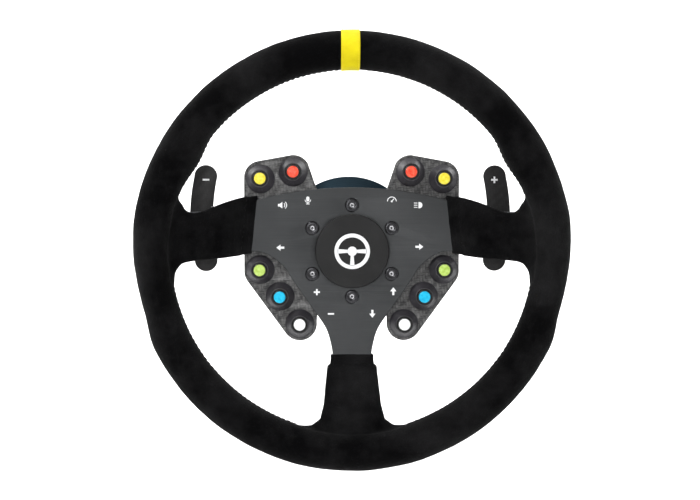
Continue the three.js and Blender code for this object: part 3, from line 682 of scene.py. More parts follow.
def half_width(degrees, inner):
    """The rim's half width, with its thumb rests inside and its dips outside."""
    thumb = THUMB_DEPTH * smooth(1 - np.abs(degrees - THUMB_ANGLE) / THUMB_SPREAD)
    rising = smooth((degrees - DIP_START) / (DIP_DEEPEST - DIP_START))
    falling = smooth((DIP_END - degrees) / (DIP_END - DIP_DEEPEST))
    dip = DIP_DEPTH * np.where(degrees < DIP_DEEPEST, rising, falling)
    return np.where(inner, RIM_HALF_WIDTH + thumb, RIM_HALF_WIDTH - dip)


def outline_distance(x, z, outline):
    """Distance from points to an outline in the x-z plane, negative inside."""
    nearest = np.full(np.broadcast(x, z).shape, 1e9)
    inside = np.zeros(nearest.shape, bool)
    for (ax, az), (bx, bz) in zip(outline, outline[1:] + outline[:1]):
        ex, ez = bx - ax, bz - az
        t = np.clip(((x - ax) * ex + (z - az) * ez) / (ex * ex + ez * ez), 0, 1)
        nearest = np.minimum(nearest, (x - ax - t * ex) ** 2 + (z - az - t * ez) ** 2)
        if ez:
            inside ^= ((az > z) != (bz > z)) & (x < (z - az) * ex / ez + ax)
    nearest = np.sqrt(nearest)
    return np.where(inside, -nearest, nearest)


def curved(outline, steps=3):
    """A closed outline smoothed through its points, its two ends by the plate kept straight."""
    count = len(outline)
    points = [np.array(p, float) for p in outline]
    out = []
    for i in range(count):
        near = [points[(i + k) % count] for k in (-1, 0, 1, 2)]
        straight = i in (0, 1, count - 1)
        out += [between(*near, k / steps) for k in range(1 if straight else steps)]
    return out


SIDE_OUTLINE = curved(SIDE_ARM)


def groove(distance, width, depth):
    return depth * np.exp(-((distance / width) ** 2))


def arm_field(x, y, z, outline, along, slope_start, from_end):
    """A sleeve round one arm: flat by the plate, then sloping to the rim, with rounded edges."""
    away = along - slope_start
    ramp = np.minimum((away + np.sqrt(away ** 2 + 36)) / 2 / (ARM_SLOPE_END - slope_start), 1)
    middle = PLATE_MIDDLE - 0.1 + (RIM_Y - PLATE_MIDDLE) * ramp
    hem = HEM_STEP * smooth((HEM_WIDTH - from_end) / HEM_RAMP + 0.5)
    folds = (FOLD_DEPTH * np.sin((from_end + 0.05 * z) * FOLD_RATE)
             * smooth(1 - np.abs(from_end - FOLD_PLACE) / FOLD_REACH))
    flat = outline_distance(x, z, outline) + SLEEVE_EDGE + 0.6 * hem
    thick = np.abs(y - middle) - SLEEVE_THICKNESS / 2 + hem + folds + SLEEVE_EDGE
    outside = np.sqrt(np.maximum(flat, 0) ** 2 + np.maximum(thick, 0) ** 2)
    return outside + np.minimum(np.maximum(flat, thick), 0) - SLEEVE_EDGE


def rim_field(x, y, z):
    degrees = np.degrees(np.arctan2(np.abs(x), z))
    dr = np.hypot(x, z) - RIM_R
    width = half_width(degrees, dr < 0)
    round_it = np.sqrt((dr / width) ** 2 + ((y - RIM_Y) / RIM_HALF_DEPTH) ** 2)
    inner_angle = np.arctan2(np.abs(y - RIM_Y), -dr)
    seam = groove(inner_angle * 15, SEAM_WIDTH, SEAM_DEPTH)
    return (round_it - 1) * np.minimum(width, RIM_HALF_DEPTH) + seam


def melt(a, b, k):
    """The lower of two fields, blended where they are within k of each other."""
    h = np.clip(0.5 + 0.5 * (b - a) / k, 0, 1)
    return b * (1 - h) + a * h - k * h * (1 - h)


def cover_field(x, y, z):
    """Signed distance to the cover's outer surface: the rim and its three sleeves."""
    side = np.abs(x)
    (ax, az), (bx, bz) = SIDE_ARM[:2]
    length = math.hypot(bx - ax, bz - az)
    from_side_end = ((side - ax) * (az - bz) + (z - az) * (bx - ax)) / length
    arms = np.minimum(
        arm_field(side, y, z, SIDE_OUTLINE, side, SIDE_SLOPE_START, from_side_end),
        arm_field(x, y, z, BOTTOM_ARM, -z, BOTTOM_SLOPE_START, BOTTOM_END - z),
    )
    rim = rim_field(x, y, z)
    fold = groove(np.hypot(x, z) - (RIM_BORE + 1.2), 2.2, 0.5)
    return melt(rim, arms, MELT) + fold * (np.abs(rim - arms) < MELT)


def surface_net(field, origin, step):
    """A closed mesh of quads where a sampled field changes sign."""
    shape = tuple(n - 1 for n in field.shape)
    total = np.zeros(shape + (3,))
    count = np.zeros(shape)
    below = field < 0
    for axis in range(3):
        u, v = [a for a in range(3) if a != axis]
        for first, second in ((0, 0), (0, 1), (1, 0), (1, 1)):
            start = [0, 0, 0]
            start[u], start[v] = first, second
            end = list(start)
            end[axis] = 1
            a = tuple(slice(s, s + n) for s, n in zip(start, shape))
            b = tuple(slice(s, s + n) for s, n in zip(end, shape))
            crossing = below[a] != below[b]
            gap = np.where(crossing, field[a] - field[b], 1)
            place = np.stack([np.full(shape, float(s)) for s in start], -1)
            place[..., axis] += np.where(crossing, field[a] / gap, 0)
            total += place * crossing[..., None]
            count += crossing
    used = count > 0
    index = np.full(shape, -1)
    index[used] = np.arange(used.sum())
    points = (np.argwhere(used) + total[used] / count[used][:, None]) * step + origin
    faces = []
    for axis in range(3):
        others = [a for a in range(3) if a != axis]
        inner = [slice(1, n) for n in shape]
        inner[axis] = slice(0, shape[axis])
        ahead = list(inner)
        ahead[axis] = slice(1, shape[axis] + 1)
        edges = np.argwhere(below[tuple(inner)] != below[tuple(ahead)])
        quad = []
        for corner in ((0, 0), (1, 0), (1, 1), (0, 1)):
            cell = edges.copy()
            cell[:, others] += corner
            quad.append(index[tuple(cell.T)])
        faces.append(np.stack(quad, -1))
    return points, np.concatenate(faces)


def cover_shape():
    """The cover's points drawn onto its field, with the way out at each point, and its faces."""
    step = 1.5
    margin = 3 * step
    low = np.array(cover_low) - margin
    high = np.array(cover_high) + margin
    axes = [np.arange(a, b, step) for a, b in zip(low, high)]
    x, y, z = np.meshgrid(*axes, indexing="ij", sparse=True)
    points, faces = surface_net(cover_field(x, y, z), low, step)
    small = 0.05
    for _ in range(3):
        here = cover_field(*points.T)
        slope = np.stack([
            (cover_field(*(points + d).T) - cover_field(*(points - d).T)) / (2 * small)
            for d in np.eye(3) * small
        ], -1)
        size = np.maximum((slope ** 2).sum(-1), 0.05)
        points -= np.clip(here / size, -1, 1)[:, None] * slope
    return points, slope / np.linalg.norm(slope, axis=1)[:, None], faces


def build_cover():
    points, normals, faces = cover_shape()
    for i, (point, normal) in enumerate(zip(points, normals)):
        at = Vector(point)
        relief = 0.34 * noise.noise(at / 21) + 0.12 * noise.noise(at / 6)
        points[i] += normal * (relief - 0.05)
    shape = Shape().add((points.tolist(), faces.tolist()))
    make("suede_cover", shape, [SUEDE], "wheel", ["rim_cover"], crease=180)


def rim_point(degrees, around):
    """A point on the rim: degrees from the top, around the section from its outermost point."""
    width = float(half_width(abs(degrees), np.cos(around) < 0))
    r = RIM_R + width * math.cos(around)
    turn = math.radians(degrees)
    return Vector((r * math.sin(turn), RIM_Y + RIM_HALF_DEPTH * math.sin(around),
                   r * math.cos(turn)))


def build_rim_stitching():
    """Crossed stitches along the seam on the inside of the rim, between the arms."""
    shape = Shape()
    pitch, length, slope = 1.75, 1.085, 0.13
    upper_span, lower_span = (4.5, 70.5), (101.0, 161.0)
    for side in (-1, 1):
        for low, high in (upper_span, lower_span):
            for k in range(int((high - low) / pitch)):
                turn = side * (low + k * pitch)
                ahead = turn + side * length
                out = Vector((-math.sin(math.radians(turn)), 0, -math.cos(math.radians(turn))))
                for slant, lift in ((-slope, 0.05), (slope, 0.18)):
                    shape.add(stitch(rim_point(turn, math.pi + slant),
                                     rim_point(ahead, math.pi - slant), out, 0.3, lift))
    make("rim_stitching", shape, [THREAD], "wheel", crease=60)


def sleeve_face(x, z, out):
    """A point on the front (out -1) or back (out 1) of a sleeve, found on the cover's field."""
    y = PLATE_MIDDLE + out * 12
    for _ in range(40):
        gap = float(cover_field(np.array([x]), np.array([y]), np.array([z]))[0])
        y -= out * gap
        if abs(gap) < 1e-3:
            break
    return Vector((x, y, z))


def build_sleeve_stitching():
    """A row of stitches across the front and back of each sleeve, along its hem."""
    (ax, az), (bx, bz) = SIDE_ARM[:2]
    along = Vector((bx - ax, 0, bz - az)).normalized()
    outward = Vector((-along.z, 0, along.x))
    start = Vector((ax, 0, az)) + outward * HEM_WIDTH + along * 4.5
    rows = []
    for side in (-1, 1):
        rows.append([(side * (start + along * s).x, (start + along * s).z)
                     for s in np.arange(0, 38.5, STITCH_STEP)])
    rows.append([(x, BOTTOM_END - HEM_WIDTH) for x in np.arange(-15, 15.1, STITCH_STEP)])
    shape = Shape()
    for row in rows:
        for first, second in zip(row[::2], row[1::2]):
            for out in (-1, 1):
                shape.add(stitch(sleeve_face(*first, out), sleeve_face(*second, out),
                                 (0, out, 0), 0.36, 0.34))
    make("sleeve_stitching", shape, [THREAD], "wheel", crease=60)


def build_marker():
    """The yellow leather band at the top of the rim, wrapped round it and stitched at its edges."""
    low, high = box_mm("centre_marker")
    centre, half = (low.x + high.x) / 2, (high.x - low.x) / 2
    top = 0.62

    def at(across, around, lift):
        """A point on the band: across it from -1 to 1, and round the rim's section."""
        x = centre + across * half
        r = RIM_R + (RIM_HALF_WIDTH + lift) * math.cos(around)
        y = RIM_Y + (RIM_HALF_DEPTH + lift) * math.sin(around)
        return Vector((x, y, math.sqrt(r * r - x * x)))

    # Each row crosses the band and comes back under it, and the rows run round the rim's section.
    section = [(-1.0, -0.5), (-1.0, 0.25), (-0.97, 0.5), (-0.9, top)]
    section += [(t, 0.66) for t in np.linspace(-0.75, 0.75, 11)]
    section += [(-u, h) for u, h in reversed(section[:4])]
    shape = Shape().add(grid([[at(u, around, h) for u, h in section] for around in ring_angles(120)]))
    make("yellow_marker", shape, [MARKER], "wheel", ["centre_marker"], crease=50)
    thread = Shape()
    for side in (-0.84, 0.84):
        for around in ring_angles(46):
            out = at(0, around, 5) - at(0, around, 0)
            thread.add(stitch(at(side, around, top), at(side, around + 0.09, top), out, 0.24, 0.14))
    make("marker_stitching", thread, [YELLOW_THREAD], "wheel", crease=60)


# ---- Spoke plate, bolts and cap ----

PLATE_TOP, PLATE_TOP_ARC, PLATE_HALF_WIDTH = 48.5, 280.0, 82
PLATE_EDGE = [
    (82, -0.6), (74.5, -0.2), (68.7, -0.8), (62.3, -3.7), (56, -8.2), (50.6, -13.5), (44.8, -22.8),
    (28.2, -46.7), (22.9, -54.2), (19.4, -60.4), (17.1, -67.4), (15.1, -77.1), (15.1, -84),
]
ARM_HALF_WIDTH, ARM_START, ARM_END = 12, 80, 147
SIDE_ARM_BEND, BOTTOM_ARM_BEND, SIDE_ARM_RISE = 84, 86, 18
BOLT_HEAD, BOLT_SHANK, BOLT_SOCKET = 4.85, 2.5, 2.05
CAP_WALL, CAP_FLAT = (24.6, 22.4), 27.5
bolt_spots = [middle_mm(f"hub_bolt_{i}") for i in range(1, 7)]


def top_arc(x):
    return PLATE_TOP - PLATE_TOP_ARC + math.sqrt(PLATE_TOP_ARC ** 2 - x * x)


def plate_outline(steps=4):
    p = [np.array(q, float) for q in [PLATE_EDGE[0], *PLATE_EDGE, PLATE_EDGE[-1]]]
    edge = [between(*p[i - 1:i + 3], k / steps) for i in range(1, len(p) - 2) for k in range(steps)]
    edge.append(tuple(p[-1]))
    top = [(x, top_arc(x)) for x in np.linspace(PLATE_HALF_WIDTH, -PLATE_HALF_WIDTH, 61)]
    return top + [(-x, z) for x, z in edge] + list(reversed(edge))


def build_plate():
    """The flat plate, its three arms that dish back to the rim, and the ring inside the rim."""
    holes = [circle(p.x, p.z, 5.25) for p in bolt_spots]
    shape = Shape()
    shape.add(slab([plate_outline(), circle(0, 0, 25, 96), *holes], PLATE_BACK, PLATE_FRONT, 0.55, 3))
    dish = RIM_Y - PLATE_MIDDLE
    sides = [(PLATE_BACK, ARM_HALF_WIDTH), (PLATE_FRONT, ARM_HALF_WIDTH),
             (PLATE_FRONT, -ARM_HALF_WIDTH), (PLATE_BACK, -ARM_HALF_WIDTH)]
    for turn, bend, rise in ((0, SIDE_ARM_BEND, SIDE_ARM_RISE), (-180, SIDE_ARM_BEND, SIDE_ARM_RISE),
                             (90, BOTTOM_ARM_BEND, 0)):
        line = [(ARM_START, 0), (bend, 0), (ARM_SLOPE_END, dish), (ARM_END, dish)]
        rows = [[(s, y + lift, z) for y, z in sides] for s, lift in line]
        shape.add(turned_shell(grid(rows, wrap_u=False), math.radians(turn), rise))
    shape.add(revolve(band(RIM_R - 5, RIM_R + 5, RIM_Y + 2, RIM_Y - 2, 0.5), steps=180, closed=True))
    make("spoke_plate", shape, [PLATE], "wheel", ["wheel_frame"])


def hex_recess(depth, socket, top):
    """The last rings of a screw head whose face is at top and whose socket goes in by depth."""
    inward = 1 if depth > 0 else -1
    return [(socket * 1.22, top), (socket * 1.06, top + 0.12 * inward),
            (socket, top + 0.3 * inward, "hex"), (socket, top + depth, "hex"),
            (0, top + depth + 0.1 * inward)]


def small_screw(centre, axis, face, out, head, height, socket):
    """A cap screw head standing on a face. out is 1 or -1, the way it points along its axis."""
    top = face + out * height
    profile = [(0, face - out * 1.5), (head * 0.55, face - out * 1.5), (head * 0.55, face),
               (head, face), (head, top - out * 0.35), (head - 0.25, top)]
    profile += hex_recess(-out * height * 0.6, socket, top)
    return revolve(profile, centre, axis, steps=36)


def build_bolts():
    """Countersunk bolts, each with the liner of its hole and a drilled point in its socket, in bright
    steel as a painted glint.
    """
    for i, spot in enumerate(bolt_spots, 1):
        node = f"hub_bolt_{i}"
        low, high = box_mm(node)
        face = low.y
        at = (spot.x, 0, spot.z)
        profile = [(0, high.y), (BOLT_SHANK - 0.4, high.y), (BOLT_SHANK, high.y - 0.5),
                   (BOLT_SHANK, face + 2.6), (BOLT_HEAD, face + 0.35), (BOLT_HEAD, face + 0.12),
                   (BOLT_HEAD - 0.25, face)] + hex_recess(2.5, BOLT_SOCKET, face)
        # The drilled point is bright steel inside a blackened bolt: a painted glint low in the socket.
        painted_glint_drill_point = [(0, face + 3.1), (1.05, face + 2.42), (1.7, face + 2.36), (1.7, face + 3.4),
                       (0, face + 3.4)]
        liner = [(5.2, PLATE_FRONT + 0.15), (5.24, PLATE_FRONT + 0.4), (2.9, PLATE_FRONT + 2.8),
                 (2.9, PLATE_BACK), (2.7, PLATE_BACK), (2.7, PLATE_FRONT + 2.8),
                 (5.0, PLATE_FRONT + 0.4)]
        shape = Shape().add(revolve(profile, at, steps=60))
        shape.add(revolve(painted_glint_drill_point, at, steps=24), 2)
        shape.add(revolve(liner, at, steps=60, closed=True), 1)
        detail(node, shape, [BOLT_STEEL, BLACK_ANODISED, STEEL], "wheel")


def build_spacer():
    outlines = [circle(0, 0, spacer_high.x, 128), circle(0, 0, 26, 96)]
    outlines += [circle(p.x, p.z, 2.8, 24) for p in bolt_spots]
    shape = Shape().add(slab(outlines, spacer_high.y, spacer_low.y, 0.25))
    detail("spacer_ring", shape, [ARM_METAL], "wheel")


def build_cap():
    low, high = box_mm("centre_cap")
    face, radius = low.y, high.x
    seat = PLATE_FRONT - 0.05
    wall, inside = CAP_WALL
    profile = [(0, face + 0.04), (20, face + 0.03)]
    profile += soften([(20, face + 0.03), (CAP_FLAT, face), (radius, face + 0.85), (radius, seat),
                       (wall, seat)], 0.3)[1:]
    profile += [(wall, high.y), (inside, high.y), (inside, face + 3.2), (0, face + 3.2)]
    shape = Shape().add(revolve(profile, steps=160))
    detail("centre_cap", shape, [CAP_BLACK], "wheel")

    # A plain pictogram of a three-spoke wheel.
    outer, inner, hub = 13.5, 10.6, 3.6
    spoke = [(hub - 0.4, 1.15), (hub - 0.4, -1.15), (inner + 0.5, -1.7), (inner + 0.5, 1.7)]
    marks = [[circle(0, 0, outer, 96), circle(0, 0, inner, 96)], [circle(0, 0, hub, 48)]]
    for turn in (0, 180, 270):
        marks.append([[turned(x, z, math.radians(turn)) for x, z in reversed(spoke)]])
    shape = Shape()
    for outlines in marks:
        shape.add(slab(outlines, face + 0.2, face - 0.15, 0.05, 1))
    make("cap_pictogram", shape, [INK], "wheel")


# ---- Printed marks ----


def strip(start, end, width):
    """A straight stroke in the x-z plane."""
    (ax, az), (bx, bz) = start, end
    length = math.hypot(bx - ax, bz - az)
    nx, nz = -(bz - az) / length * width / 2, (bx - ax) / length * width / 2
    return [(ax - nx, az - nz), (bx - nx, bz - nz), (bx + nx, bz + nz), (ax + nx, az + nz)]


def wave(x, z, radius, spread, width):
    return (arc(x, z, radius + width / 2, -spread, spread, 10)
            + arc_back(x, z, radius - width / 2, -spread, spread, 10))


def arrow(turn):
    """An arrow that points right, turned by degrees."""
    head = [(2.4, 0), (-0.1, 1.9), (-0.1, 0.65), (-2.4, 0.65), (-2.4, -0.65), (-0.1, -0.65),
            (-0.1, -1.9)]
    return [[turned(x, z, math.radians(turn)) for x, z in reversed(head)]]


HORN = [[(-2.6, -0.8), (-1.5, -0.8), (0.1, -2.0), (0.1, 2.0), (-1.5, 0.8), (-2.6, 0.8)],
        wave(0.1, 0, 1.5, 50, 0.45), wave(0.1, 0, 2.6, 50, 0.45)]
MICROPHONE = [arc(0, 0.9, 0.95, 0, 180, 10) + arc(0, -0.2, 0.95, 180, 360, 10),
              arc(0, -0.1, 1.9, 180, 360, 14) + arc_back(0, -0.1, 1.5, 180, 360, 14),
              strip((0, -1.8), (0, -2.6), 0.45), strip((-1.1, -2.7), (1.1, -2.7), 0.45)]
GAUGE = [arc(0, -1.1, 2.9, 0, 180, 20) + arc_back(0, -1.1, 2.45, 0, 180, 20),
         strip((0, -1.1), (1.3, 0.5), 0.5), circle(0, -1.1, 0.6, 20)]
LAMP = [arc(0.3, 0, 1.9, -90, 90, 14) + [(-0.2, 1.9), (-0.2, -1.9)]]
LAMP += [strip((-3.0, z), (-0.8, z), 0.42) for z in (-1.3, 0, 1.3)]
MINUS = [strip((-1.9, 0), (1.9, 0), 1.0)]
PLUS = MINUS + [strip((0, 0.5), (0, 1.9), 1.0), strip((0, -1.9), (0, -0.5), 1.0)]
MARK_SIZE, BLADE_MARK_SIZE = 1.25, 1.38
MARKS = [
    (HORN, -53.2, 35.0), (MICROPHONE, -33.7, 39.3), (GAUGE, 30.4, 39.3), (LAMP, 51.0, 35.0),
    (arrow(180), -54.7, 2.6), (arrow(0), 51.5, 3.2), (PLUS, -26.9, -31.4), (arrow(90), 31.6, -30.8),
    (MINUS, -16.1, -48.1), (arrow(270), 15.6, -48.1),
]


def mark_shape(marks, size, face, lift):
    """Printed marks on the face of a plate, lifted slightly off it."""
    shape = Shape()
    for strokes, x, z in marks:
        for stroke in strokes:
            outline = [(x + size * u, z + size * v) for u, v in stroke]
            shape.add(slab([outline], face + 0.1, face - lift, 0.02, 0))
    return shape


def build_marks():
    shape = mark_shape(MARKS, MARK_SIZE, PLATE_FRONT, 0.04)
    make("plate_marks", shape, [INK], "wheel")


# ---- Button plate and buttons ----

button_low, button_high = box_mm("button_plate")
COLOURS = ["yellow", "red", "green", "blue", "white"]
BUTTON_NAMES = [f"{colour}_{side}" for colour in COLOURS for side in ("left", "right")]
button_spots = {name: middle_mm(f"button_bezel_{name}") for name in BUTTON_NAMES}
BUTTON_BORE, BEZEL_FOOT, BEZEL_TIP, PLUNGER_RADIUS, LENS_RADIUS = 5.75, 10.4, 6.8, 5.3, 4.4
OPEN_BACK_BELOW = -20


def button_plate_outline():
    """One outline round the four wings and the middle, drawn on the right and mirrored."""
    right = [(0, 46)]
    right += [(x, top_arc(x) - 2.5) for x in (10, 20, 26)]
    right += arc_back(45, 60.3, 13.2, 85, 150, 14)
    right += arc_back(70, 56.3, 12.6, 0, 78, 16)
    right += arc_back(70.4, -16, 12.2, 324, 360, 8)
    right += arc_back(40, -56, 13.2, 175, 324, 26)
    right += [(26.6, -48), (20.6, -54.5), (17.0, -61), (14.8, -68), (12.8, -78), (0, -78)]
    return list(reversed(right)) + mirrored(list(reversed(right)))[1:-1]


def build_button_plate():
    holes = [circle(p.x, p.z, 7.3, 40) for p in button_spots.values()]
    outlines = [button_plate_outline(), circle(0, 0, 15.5, 64), *holes]
    shape = Shape().add(slab(outlines, button_high.y, button_low.y, 0.4))
    make("carbon_button_plate", shape, [CARBON], "wheel", ["button_plate"])


def build_bezel(name, spot):
    """A conical bezel with fine grooves, its black seal, which is partly painted shade in the bore, and
    its nut where the plate's back is open.
    """
    low, high = box_mm(f"button_bezel_{name}")
    top, base, back = low.y, button_low.y - 0.02, high.y
    at = (spot.x, 0, spot.z)
    foot, tip = np.array((BEZEL_FOOT, base - 1.6)), np.array((BEZEL_TIP, top))
    cone = []
    for t in (0.12, 0.24, 0.36, 0.48, 0.60, 0.72, 0.84):
        for step, sink in ((-0.012, 0), (0, 0.14), (0.012, 0)):
            cone.append(tuple(foot + (tip - foot) * (t + step) - np.array((sink, 0))))
    outside = soften([(11.0, base), (11.0, base - 1.1), (10.6, base - 1.25), tuple(foot)], 0.3)
    outside += cone
    outside += soften([cone[-1], tuple(tip), (BUTTON_BORE, top), (BUTTON_BORE, top + 1.2)], 0.3)[1:]
    profile = [(0, back), (6.8, back), (7, back - 0.2), (7, base)] + outside
    profile += [(BUTTON_BORE, back - 1.6), (0, back - 1.6)]
    shape = Shape().add(revolve(profile, at, steps=72))
    if spot.z < OPEN_BACK_BELOW:
        ring = band(7.1, 9.6, button_high.y + 0.2, button_high.y + 2.4, 0.3)
        nut = [(r, t, "hex") if r > 8 else (r, t) for r, t in ring]
        shape.add(revolve(nut, at, steps=72, closed=True), 1)
    # The black seal is partly a rubber lip and partly painted shade: it widens the dark ring round the
    # lens where the recess lies in shade.
    seal_and_bore_shade = soften([(5.45, top + 1), (6.4, top + 0.4), (6.4, top - 0.05), (BUTTON_BORE, top - 0.1),
                   (5.45, top + 0.3)], 0.15, 3, closed=True)
    shape.add(revolve(seal_and_bore_shade, at, steps=72, closed=True), 2)
    make(f"bezel_{name}", shape, [BEZEL, STEEL, PLUNGER], "wheel",
         [f"button_bezel_{name}"])


def build_button_cap(name, spot):
    """The moving plunger with its coloured lens."""
    low, high = box_mm(f"button_cap_{name}")
    at = (spot.x, 0, spot.z)
    crown = low.y
    rim = crown + 1.9
    plunger = [(0, high.y), (PLUNGER_RADIUS, high.y)]
    plunger += soften([(PLUNGER_RADIUS, high.y), (PLUNGER_RADIUS, rim), (4.6, rim - 0.35),
                       (4.6, rim + 0.3)], 0.3)[1:]
    plunger += [(0, rim + 0.3)]
    jewel = [(0, rim + 0.6), (LENS_RADIUS, rim + 0.6)]
    jewel += soften([(LENS_RADIUS, rim + 0.6), (LENS_RADIUS, crown + 0.5), (3.8, crown + 0.08),
                     (2, crown), (0, crown)], 0.4, 4)[1:]
    shape = Shape().add(revolve(plunger, at, steps=64)).add(revolve(jewel, at, steps=64), 1)
    colour = name.split("_")[0]
    make(f"cap_{name}", shape, [PLUNGER, LENSES[colour]], f"button_{name}",
         [f"button_cap_{name}"])


def build_buttons():
    for name, spot in button_spots.items():
        build_bezel(name, spot)
        build_button_cap(name, spot)


# ---- Rear housing ----

housing_low, housing_high = box_mm("rear_housing")
HOUSING_HALF = [(72, -27), (79.8, -20), (79.8, 59.5), (74, 65.8), (60, 68.2), (40, 70.3), (36, 66),
                (30, 47.2)]
HOUSING_CUTOUT = 40.8
HOUSING_MIDDLE = np.array([42.0, 20.0])
HOUSING_SCREWS = [(side * x, 0, z) for side in (-1, 1)
                  for x, z in ((38, 60), (74, 55), (74, -14), (46, -20))]
CONNECTOR_X, CONNECTOR_Z = 60, 51.5


def housing_outline(inset=0.0):
    """The housing's outline with its round cutout, which is open at the bottom."""
    right = []
    for point in soften(HOUSING_HALF, 3.0, 4):
        step = HOUSING_MIDDLE - np.array(point)
        right.append(tuple(np.array(point) + inset * step / np.linalg.norm(step)))
    low = HOUSING_HALF[0][1] + inset
    right[0] = (right[0][0], low)
    radius = HOUSING_CUTOUT + inset
    edge = math.degrees(math.asin(low / radius))
    return right + mirrored(right) + arc(0, 0, radius, 180 - edge, edge, 64)


def rectangle(x, half_x, half_z):
    """A rounded rectangle about the connector's place at x."""
    z = CONNECTOR_Z
    corners = [(x + half_x, z - half_z), (x + half_x, z + half_z), (x - half_x, z + half_z),
               (x - half_x, z - half_z)]
    return soften(corners, 0.8, 3, closed=True)


def build_housing():
    """The back shell with its screw seats, side ribs and two framed connectors, and its screws."""
    back = housing_high.y
    shape = Shape().add(slab([housing_outline()], back, back - 3, 0.9, 3))
    shape.add(slab([housing_outline(), list(reversed(housing_outline(2.0)))], back - 2,
                   housing_low.y, 0.4))
    for spot in HOUSING_SCREWS:
        shape.add(revolve(rod(3.6, back - 0.4, back - 0.02, 0.05), spot, steps=36))
    for side in (-1, 1):
        for z in (-3, -6, -9, -12):
            shape.add(rounded_bar((side * 80.1, back - 6.5, z), (0.7, 4.6, 0.7), 0.3))
        x = side * CONNECTOR_X
        shape.add(slab([rectangle(x, 8.5, 4.6), rectangle(x, 6.9, 3.0)], back + 1.3, back - 0.5, 0.3))
        shape.add(slab([rectangle(x, 5.4, 1.6)], back + 0.7, back - 0.5, 0.25), 1)
        for step in (-3, -1, 1, 3):
            centre = (x + step, back + 0.6, CONNECTOR_Z)
            shape.add(rounded_bar(centre, (0.3, 0.35, 0.7), 0.1), 2)
    detail("rear_housing", shape, [BLACK, PLUNGER, BRASS], "wheel")
    screws = Shape()
    for spot in HOUSING_SCREWS:
        screws.add(small_screw(spot, "y", back, 1, 2.6, 1.5, 1.2))
    make("housing_screws", screws, [BLACK_STEEL], "wheel")


# ---- Paddles ----

BLADE_HALF_WIDTH, BLADE_BULGE = 9.15, 3.5
BLADE_MARK_X, BLADE_MARK_Z = 114.6, 55.0
BLADE_SCREW_X, BLADE_SCREW_STEP = 114.5, 4.5
BLOCK_INNER, BLOCK_OUTER, BLOCK_BACK = 80.1, 109.0, -86.5
BLOCK_SCREW_Y, BLOCK_SCREW_STEP = -94.5, 4.1
PIN_RADIUS, PIN_BORE, EYE_RADIUS, EAR_RADIUS, EAR_HALF = 1.5, 1.6, 3.2, 3.6, 2
ARM_TIP, ARM_BACK = 122, -78
MAGNET_RADIUS = 4


def blade_outline(side):
    """Two round ends joined by an outward bow."""
    low, high = box_mm("paddle_blade_right")
    half = BLADE_HALF_WIDTH
    end = high.x - BLADE_BULGE - half
    bottom, top = low.z + half, high.z - half
    centre = (bottom + top) / 2

    def bow(z):
        return end + BLADE_BULGE * (1 - ((z - centre) / (top - centre)) ** 2)

    heights = np.linspace(bottom, top, 26)[1:-1]
    outline = arc(end, bottom, half, 180, 360, 24) + [(bow(z) + half, z) for z in heights]
    outline += arc(end, top, half, 0, 180, 24) + [(bow(z) - half, z) for z in reversed(heights)]
    return outline if side > 0 else mirrored(outline)


def build_blade(name, side, body):
    low, high = box_mm(f"paddle_blade_{name}")
    shape = Shape().add(slab([blade_outline(side)], high.y, low.y, 0.5, 3))
    make(f"blade_{name}", shape, [BLADE], body, [f"paddle_blade_{name}"])
    marks = [(PLUS if side > 0 else MINUS, side * BLADE_MARK_X, BLADE_MARK_Z)]
    shape = mark_shape(marks, BLADE_MARK_SIZE, low.y, 0.05)
    make(f"blade_mark_{name}", shape, [INK], body)
    return high.y


